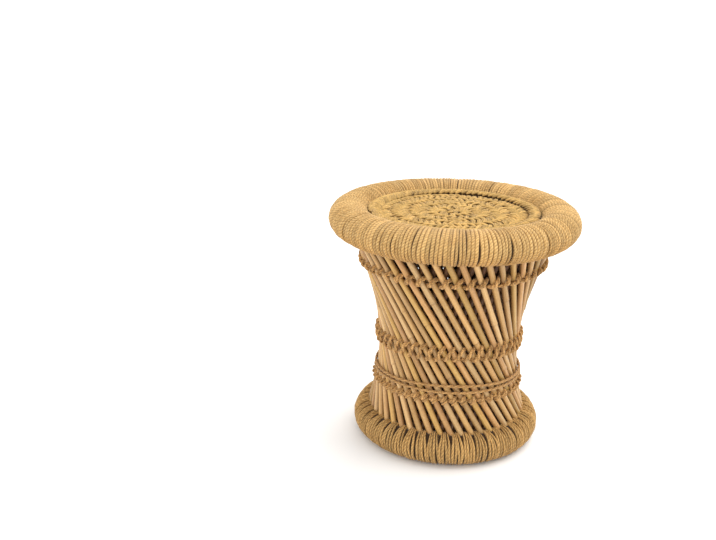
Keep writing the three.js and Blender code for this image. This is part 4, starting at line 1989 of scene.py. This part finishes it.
@dataclass
class SeatWeave:
    """The sunken middle of the seat: rounds of slanted stitches, each round against the next."""

    outer_radius: float
    top: float
    bottom: float
    rounds: int = 8
    stitch_width: float = 8.8 * MM
    rise: float = 3.6 * MM
    slant: float = 12 * MM
    core_height: float = 3.6 * MM
    core_share: float = 0.98
    core_steps: int = 73
    stitch_reach: float = 1.24
    steepest: float = 0.9
    slant_change: Span = (0.75, 1.3)
    rise_change: Span = (0.8, 1.15)
    eye_radius: float = 1.5 * MM
    missing: float = 0.0
    holes: Sequence[Span] = SEAT_HOLES
    hole_radius: float = 2.0 * MM
    hole_push: float = 1.4
    hole_reach: float = 2.2
    pit_share: float = 1.5
    pit_depth: float = 0.3 * MM
    pit_half_height: float = 0.5 * MM
    pit_steps: int = 7
    pit_roundness: float = 1.02
    edge_sink: float = 1.6 * MM
    edge_from: float = 0.9
    edge_over: float = 0.12
    edge_least: float = 0.35
    edge_azimuth: float = math.radians(65)
    work: StitchWork = field(default_factory=lambda: StitchWork(1.14 * MM, 3))
    seed: int = 41

    def build(self, finishes: Finishes) -> bpy.types.Object:
        """Weaves the rounds and their cores and dresses them.

        Args:
            finishes: the stool's finishes.

        Returns:
            The piece.
        """
        chance = random.Random(self.seed)
        mesh = StrandMesh("seat_rounds")
        width = self.outer_radius / self.rounds
        for turn in range(self.rounds):
            middle = self.outer_radius - width * (turn + 0.5)
            self._core(mesh, middle, width)
            self._round(mesh, middle, width, 1 if turn % 2 == 0 else -1, chance)
        for azimuth, away in self.holes:
            self._pit(mesh, math.radians(azimuth), away * MM)
        piece = finishes.dress(mesh.build(), Slot.SEAT)
        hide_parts("seat_weave")
        return piece

    def _core(self, mesh: StrandMesh, middle: float, width: float) -> None:
        """Adds the flat filling cord under one round, in the dark tone: painted shade between the
        stitches.

        Args:
            mesh: the mesh that takes it.
            middle: radius of the round's middle.
            width: the round's width.
        """
        azimuth = np.linspace(0, FULL_TURN, self.core_steps)
        level = self.bottom + self.core_height / 2
        path = around_axis(np.full(self.core_steps, middle), azimuth, level)
        up = upward(self.core_steps)
        half = width / 2 * self.core_share
        mesh.sweep(path, half, self.core_height / 2, up, sides=10, tone=DEPTH_SHADE_TONE)

    def _pit(self, mesh: StrandMesh, azimuth: float, away: float) -> None:
        """Adds the dark bottom of one hole: painted shade in the hole.

        Args:
            mesh: the mesh that takes it.
            azimuth: the hole's angle round the axis.
            away: its distance from the axis.
        """
        level = self.bottom + self.core_height - self.pit_depth
        reach = self.hole_radius * self.pit_share
        across = np.linspace(-1, 1, self.pit_steps)
        middle = around_axis(np.array([away]), np.array([azimuth]), np.array([level]))
        path = middle + np.stack([reach * across, 0 * across, 0 * across], axis=-1)
        width = reach * np.sqrt(self.pit_roundness - across**2)
        mesh.sweep(path, width, self.pit_half_height, upward(len(path)), tone=DEPTH_SHADE_TONE)

    def _open(self, radius: np.ndarray, azimuth: np.ndarray) -> tuple[np.ndarray, np.ndarray]:
        """Pushes the line of a stitch away from the holes.

        Args:
            radius: distances of the line's points from the axis.
            azimuth: their angles.

        Returns:
            The new distances and angles.
        """
        line = np.stack([radius * np.cos(azimuth), radius * np.sin(azimuth)], axis=-1)
        for turn, away in self.holes:
            turn = math.radians(turn)
            offset = line - away * MM * np.array([math.cos(turn), math.sin(turn)])
            near = np.linalg.norm(offset, axis=1, keepdims=True)
            near = near / (self.hole_reach * self.hole_radius)
            line = line + unit(offset) * self.hole_push * self.hole_radius * np.exp(-(near**2))
        return np.hypot(line[:, 0], line[:, 1]), np.arctan2(line[:, 1], line[:, 0])

    def _round(
        self, mesh: StrandMesh, middle: float, width: float, way: int, chance: random.Random
    ) -> None:
        """Adds the stitches of one round.

        Args:
            mesh: the mesh that takes them.
            middle: radius of the round's middle.
            width: the round's width.
            way: 1 or -1, the side to which its stitches slant.
            chance: source of small differences.
        """
        count = max(5, round(FULL_TURN * middle / self.stitch_width))
        share = np.linspace(0, 1, self.work.steps)
        across = (share - 0.5) * width * self.stitch_reach
        for index in range(count):
            if chance.random() < self.missing:
                continue
            start = FULL_TURN * (index + chance.uniform(-0.12, 0.12)) / count
            slant = way * min(self.slant, middle * self.steepest) / middle
            slant = slant * chance.uniform(*self.slant_change)
            azimuth = start + slant * (share - 0.5)
            radius = np.maximum(middle + across, self.eye_radius)
            rise = self.rise * chance.uniform(*self.rise_change)
            level = self.top - self.work.strand_radius - self.rise
            level = level + rise * np.sin(math.pi * share) ** 0.7 + chance.uniform(-0.4, 0.3) * MM
            radius, azimuth = self._open(radius, azimuth)
            edge = smooth_step((radius / self.outer_radius - self.edge_from) / self.edge_over)
            behind = max(0.0, math.cos(start - self.edge_azimuth)) ** 1.3
            behind = self.edge_least + (1 - self.edge_least) * behind
            level = level - self.edge_sink * behind * edge
            self.work.stitch(mesh, radius, azimuth, level, chance)


@dataclass
class SeatEdgeBraid:
    """The raised braided round next to the rim, two rows of stitches that meet in a V."""

    radius: float
    half_width: float
    bottom: float
    top: float
    stitches: int = 80
    slant: float = 12 * MM
    side_angle: float = math.radians(88)
    stitch_from: float = -0.22
    core_steps: int = 97
    lift_change: Span = (0.7, 1.2)
    shadow_lift: float = math.radians(36)
    inner_shadow: float = math.radians(67)
    outer_shadows: Sequence[float] = (math.radians(190), math.radians(352))
    work: StitchWork = field(default_factory=lambda: StitchWork(1.12 * MM, 4))
    seed: int = 43

    def build(self, finishes: Finishes) -> bpy.types.Object:
        """Braids the round and dresses it.

        Args:
            finishes: the stool's finishes.

        Returns:
            The piece.
        """
        chance = random.Random(self.seed)
        mesh = StrandMesh("seat_edge_round")
        azimuth = np.linspace(0, FULL_TURN, self.core_steps)
        thickness = self.work.strand_radius * 1.6
        height = (self.top - self.bottom) / 2 - thickness / 2
        level = self.bottom + height
        path = around_axis(np.full(self.core_steps, self.radius), azimuth, level)
        up = upward(self.core_steps)
        # The core under the braid's stitches takes the dark tone: painted shade in the grooves
        # beside the rows.
        mesh.sweep(path, self.half_width - thickness, height, up, sides=12, tone=DEPTH_SHADE_TONE)
        share = np.linspace(0, 1, self.work.steps)
        for row in (-1, 1):
            for index in range(self.stitches):
                place = index + 0.5 * (row > 0) + chance.uniform(-0.1, 0.1)
                start = FULL_TURN * place / self.stitches
                away = np.linspace(self.stitch_from, 1.0, self.work.steps) * row
                turn = start + self.slant / self.radius * (share - 0.5)
                lift = self.shadow_lift * self._shadow(start, row)
                lift = lift * chance.uniform(*self.lift_change)
                lean = np.clip(away, -1, 1) * (self.side_angle - lift)
                reach = self.half_width - thickness / 2
                radius = self.radius + reach * np.sin(lean)
                crest = level + (height + thickness / 2) * np.cos(lean)
                crest = crest + 0.5 * MM * np.sin(math.pi * share) - 1.0 * MM * (share < 0.12)
                crest = crest + chance.uniform(-0.2, 0.2) * MM
                self.work.stitch(mesh, radius, turn, crest, chance)
        piece = finishes.dress(mesh.build(), Slot.SEAT)
        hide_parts("seat_edge_braid")
        return piece

    def _shadow(self, azimuth: float, row: int) -> float:
        """How far a row's stitches draw back from the groove beside it.

        Args:
            azimuth: angle of the stitch round the axis.
            row: -1 for the inner row, 1 for the outer one.

        Returns:
            A share from 0 to 1.
        """
        if row < 0:
            return max(0.0, math.cos(azimuth - self.inner_shadow)) ** 1.6
        return 1.5 * max(max(0.0, math.cos(azimuth - turn)) ** 6 for turn in self.outer_shadows)


@dataclass
class SeatWarp:
    """Radial cords under the weave, from a coiled knot in the middle to the rim."""

    level: float
    length: float
    count: int = 24
    cord_radius: float = 2.5 * MM
    cord_steps: int = 14
    sway: float = 1.2 * MM
    hub_radius: float = 21 * MM
    hub_turns: float = 4.0
    hub_steps: int = 96
    hub_tone: float = 0.6
    seed: int = 47

    def build(self, finishes: Finishes) -> bpy.types.Object:
        """Lays the cords and dresses them.

        Args:
            finishes: the stool's finishes.

        Returns:
            The piece.
        """
        chance = random.Random(self.seed)
        mesh = StrandMesh("seat_warp_cords")
        steps, thick = self.cord_steps, self.cord_radius
        for index in range(self.count):
            azimuth = FULL_TURN * index / self.count
            radius = np.linspace(self.hub_radius * 0.8, self.length, steps)
            sway = chance.uniform(-1, 1) * self.sway * np.sin(math.pi * np.linspace(0, 1, steps))
            path = around_axis(radius, azimuth + sway / self.length, self.level)
            tone, start = chance.random(), chance.random()
            mesh.sweep(path, thick, thick, upward(steps), tone=tone, start=start)
        turns = np.linspace(0, FULL_TURN * self.hub_turns, self.hub_steps)
        radius = thick + (self.hub_radius - thick) * turns / turns[-1]
        path = around_axis(radius, turns, self.level)
        mesh.sweep(path, thick, thick, upward(self.hub_steps), tone=self.hub_tone)
        piece = finishes.dress(mesh.build(), Slot.WARP)
        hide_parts("seat_warp")
        return piece


# Studio and camera


@dataclass
class Viewpoint:
    """The camera, at the photograph's viewing angle."""

    location: tuple[float, float, float] = (-0.1285, -1.3031, 0.671)
    yaw: float = math.radians(-0.272)
    pitch: float = math.radians(18.074)
    roll: float = math.radians(0.909)
    focal_pixels: float = 950.0
    image_width: int = 716
    sensor: float = 36.0

    def build(self) -> bpy.types.Object:
        """Makes the camera and sets it as the scene's.

        Returns:
            The camera.
        """
        lens = bpy.data.cameras.new("photo_camera")
        lens.sensor_width = self.sensor
        lens.lens = self.focal_pixels / self.image_width * self.sensor
        camera = new_object("photo_camera", lens)
        level_right = Vector((math.cos(self.yaw), -math.sin(self.yaw), 0))
        level_ahead = Vector((math.sin(self.yaw), math.cos(self.yaw), 0))
        ahead = level_ahead * math.cos(self.pitch) - Vector((0, 0, math.sin(self.pitch)))
        level_up = level_right.cross(ahead)
        right = level_right * math.cos(self.roll) + level_up * math.sin(self.roll)
        up = level_up * math.cos(self.roll) - level_right * math.sin(self.roll)
        turn = Matrix((right, up, -ahead)).transposed().to_4x4()
        camera.matrix_world = Matrix.Translation(self.location) @ turn
        bpy.context.scene.camera = camera
        return camera


@dataclass
class Studio:
    """A plain pale floor and plain soft light."""

    floor_size: float = 60.0
    sky: float = 1.1
    key_strength: float = 2.3
    key_angle: float = math.radians(64)
    key_from: tuple[float, float, float] = (0.4, 0.22, 0.88)
    fill_strength: float = 0.5
    fill_angle: float = math.radians(40)
    fill_from: tuple[float, float, float] = (-0.45, -0.79, 0.42)

    def build(self) -> None:
        """Lays the floor and sets the lights."""
        bpy.ops.object.select_all(action="DESELECT")
        bpy.ops.mesh.primitive_plane_add(size=self.floor_size, location=(0, 0, 0))
        floor = bpy.context.object
        floor.name = "studio_floor"
        floor.data.materials.append(FloorFinish().material())
        self._lamp("key_light", self.key_strength, self.key_angle, self.key_from)
        self._lamp("fill_light", self.fill_strength, self.fill_angle, self.fill_from)
        world = bpy.data.worlds.new("studio_sky")
        world.use_nodes = True
        background = world.node_tree.nodes["Background"]
        background.inputs["Color"].default_value = (1.0, 1.0, 1.0, 1.0)
        background.inputs["Strength"].default_value = self.sky
        bpy.context.scene.world = world
        bpy.context.scene.view_settings.view_transform = "Standard"

    def _lamp(self, name: str, strength: float, angle: float, source: Sequence[float]) -> None:
        """Adds one broad, far light.

        Args:
            name: name of the light.
            strength: its strength.
            angle: how broad it is.
            source: direction in which it stands, seen from the stool.
        """
        lamp = bpy.data.lights.new(name, "SUN")
        lamp.energy = strength
        lamp.angle = angle
        light = new_object(name, lamp)
        light.rotation_euler = Vector(source).to_track_quat("Z", "Y").to_euler()


def dress_hoops(finishes: Finishes) -> None:
    """Gives the two hidden outer hoops, which stay from the frame, their bamboo finish.

    Args:
        finishes: the stool's finishes.
    """
    material = finishes.hoop()
    for node in ("rim_outer_hoop", "base_outer_hoop"):
        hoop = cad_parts[node]
        hoop.data.materials.clear()
        hoop.data.materials.append(material)
        log.info("%s: dressed", node)


def twining_rows(layout: Layout) -> list[Twining]:
    """The three rows of twine that tie the outer canes.

    Args:
        layout: the stool's sizes.

    Returns:
        The rows from the top down, not yet built.
    """
    upper = {"level": 269.5 * MM, "lift": 5.2 * MM, "strand_radius": 2.0 * MM}
    middle = {"level": 159 * MM, "lift": 9.0 * MM, "strand_radius": 1.8 * MM, "span": 2}
    lower = {"level": 93 * MM, "lift": 2.4 * MM, "strand_radius": 1.7 * MM, "uneven": 0.35}
    collars = {"collar_drop": 2.8 * MM, "collar_radius": 1.5 * MM, "collar_loops": 2}
    return [
        Twining("upper_knots", "upper_twining", layout, **upper, sag=2 * MM, tilt=2 * MM),
        Twining("middle_knots", "middle_twining", layout, **middle, ply_pitch=19 * MM, seed=33),
        Twining("lower_knots", "lower_twining", layout, **lower, **collars, seed=35),
    ]


def build_seat(finishes: Finishes) -> None:
    """Builds the seat where the frame has it.

    Args:
        finishes: the stool's finishes.
    """
    low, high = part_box("seat_weave")
    SeatWeave(outer_radius=high.x, top=high.z, bottom=low.z).build(finishes)
    braid_low, braid_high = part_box("seat_edge_braid")
    half_width = (braid_high.x - high.x) / 2
    middle = braid_high.x - half_width
    SeatEdgeBraid(middle, half_width, braid_low.z, braid_high.z).build(finishes)
    warp_low, warp_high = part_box("seat_warp")
    SeatWarp((warp_low.z + warp_high.z) / 2, warp_high.x).build(finishes)


def main() -> None:
    """Builds the camera, the studio and every piece of the stool in order."""
    logging.basicConfig(level=logging.INFO, format="%(name)s: %(message)s")
    Viewpoint().build()
    Studio().build()
    layout = Layout()
    finishes = Finishes()
    OuterCanes(layout).build(finishes)
    InnerCanes(layout).build(finishes)
    rim_winding(layout).build(finishes)
    base_winding(layout).build(finishes)
    for row in twining_rows(layout):
        row.build(finishes)
    WaistCord(layout).build(finishes)
    build_seat(finishes)
    dress_hoops(finishes)


if __name__ == "__main__":
    main()
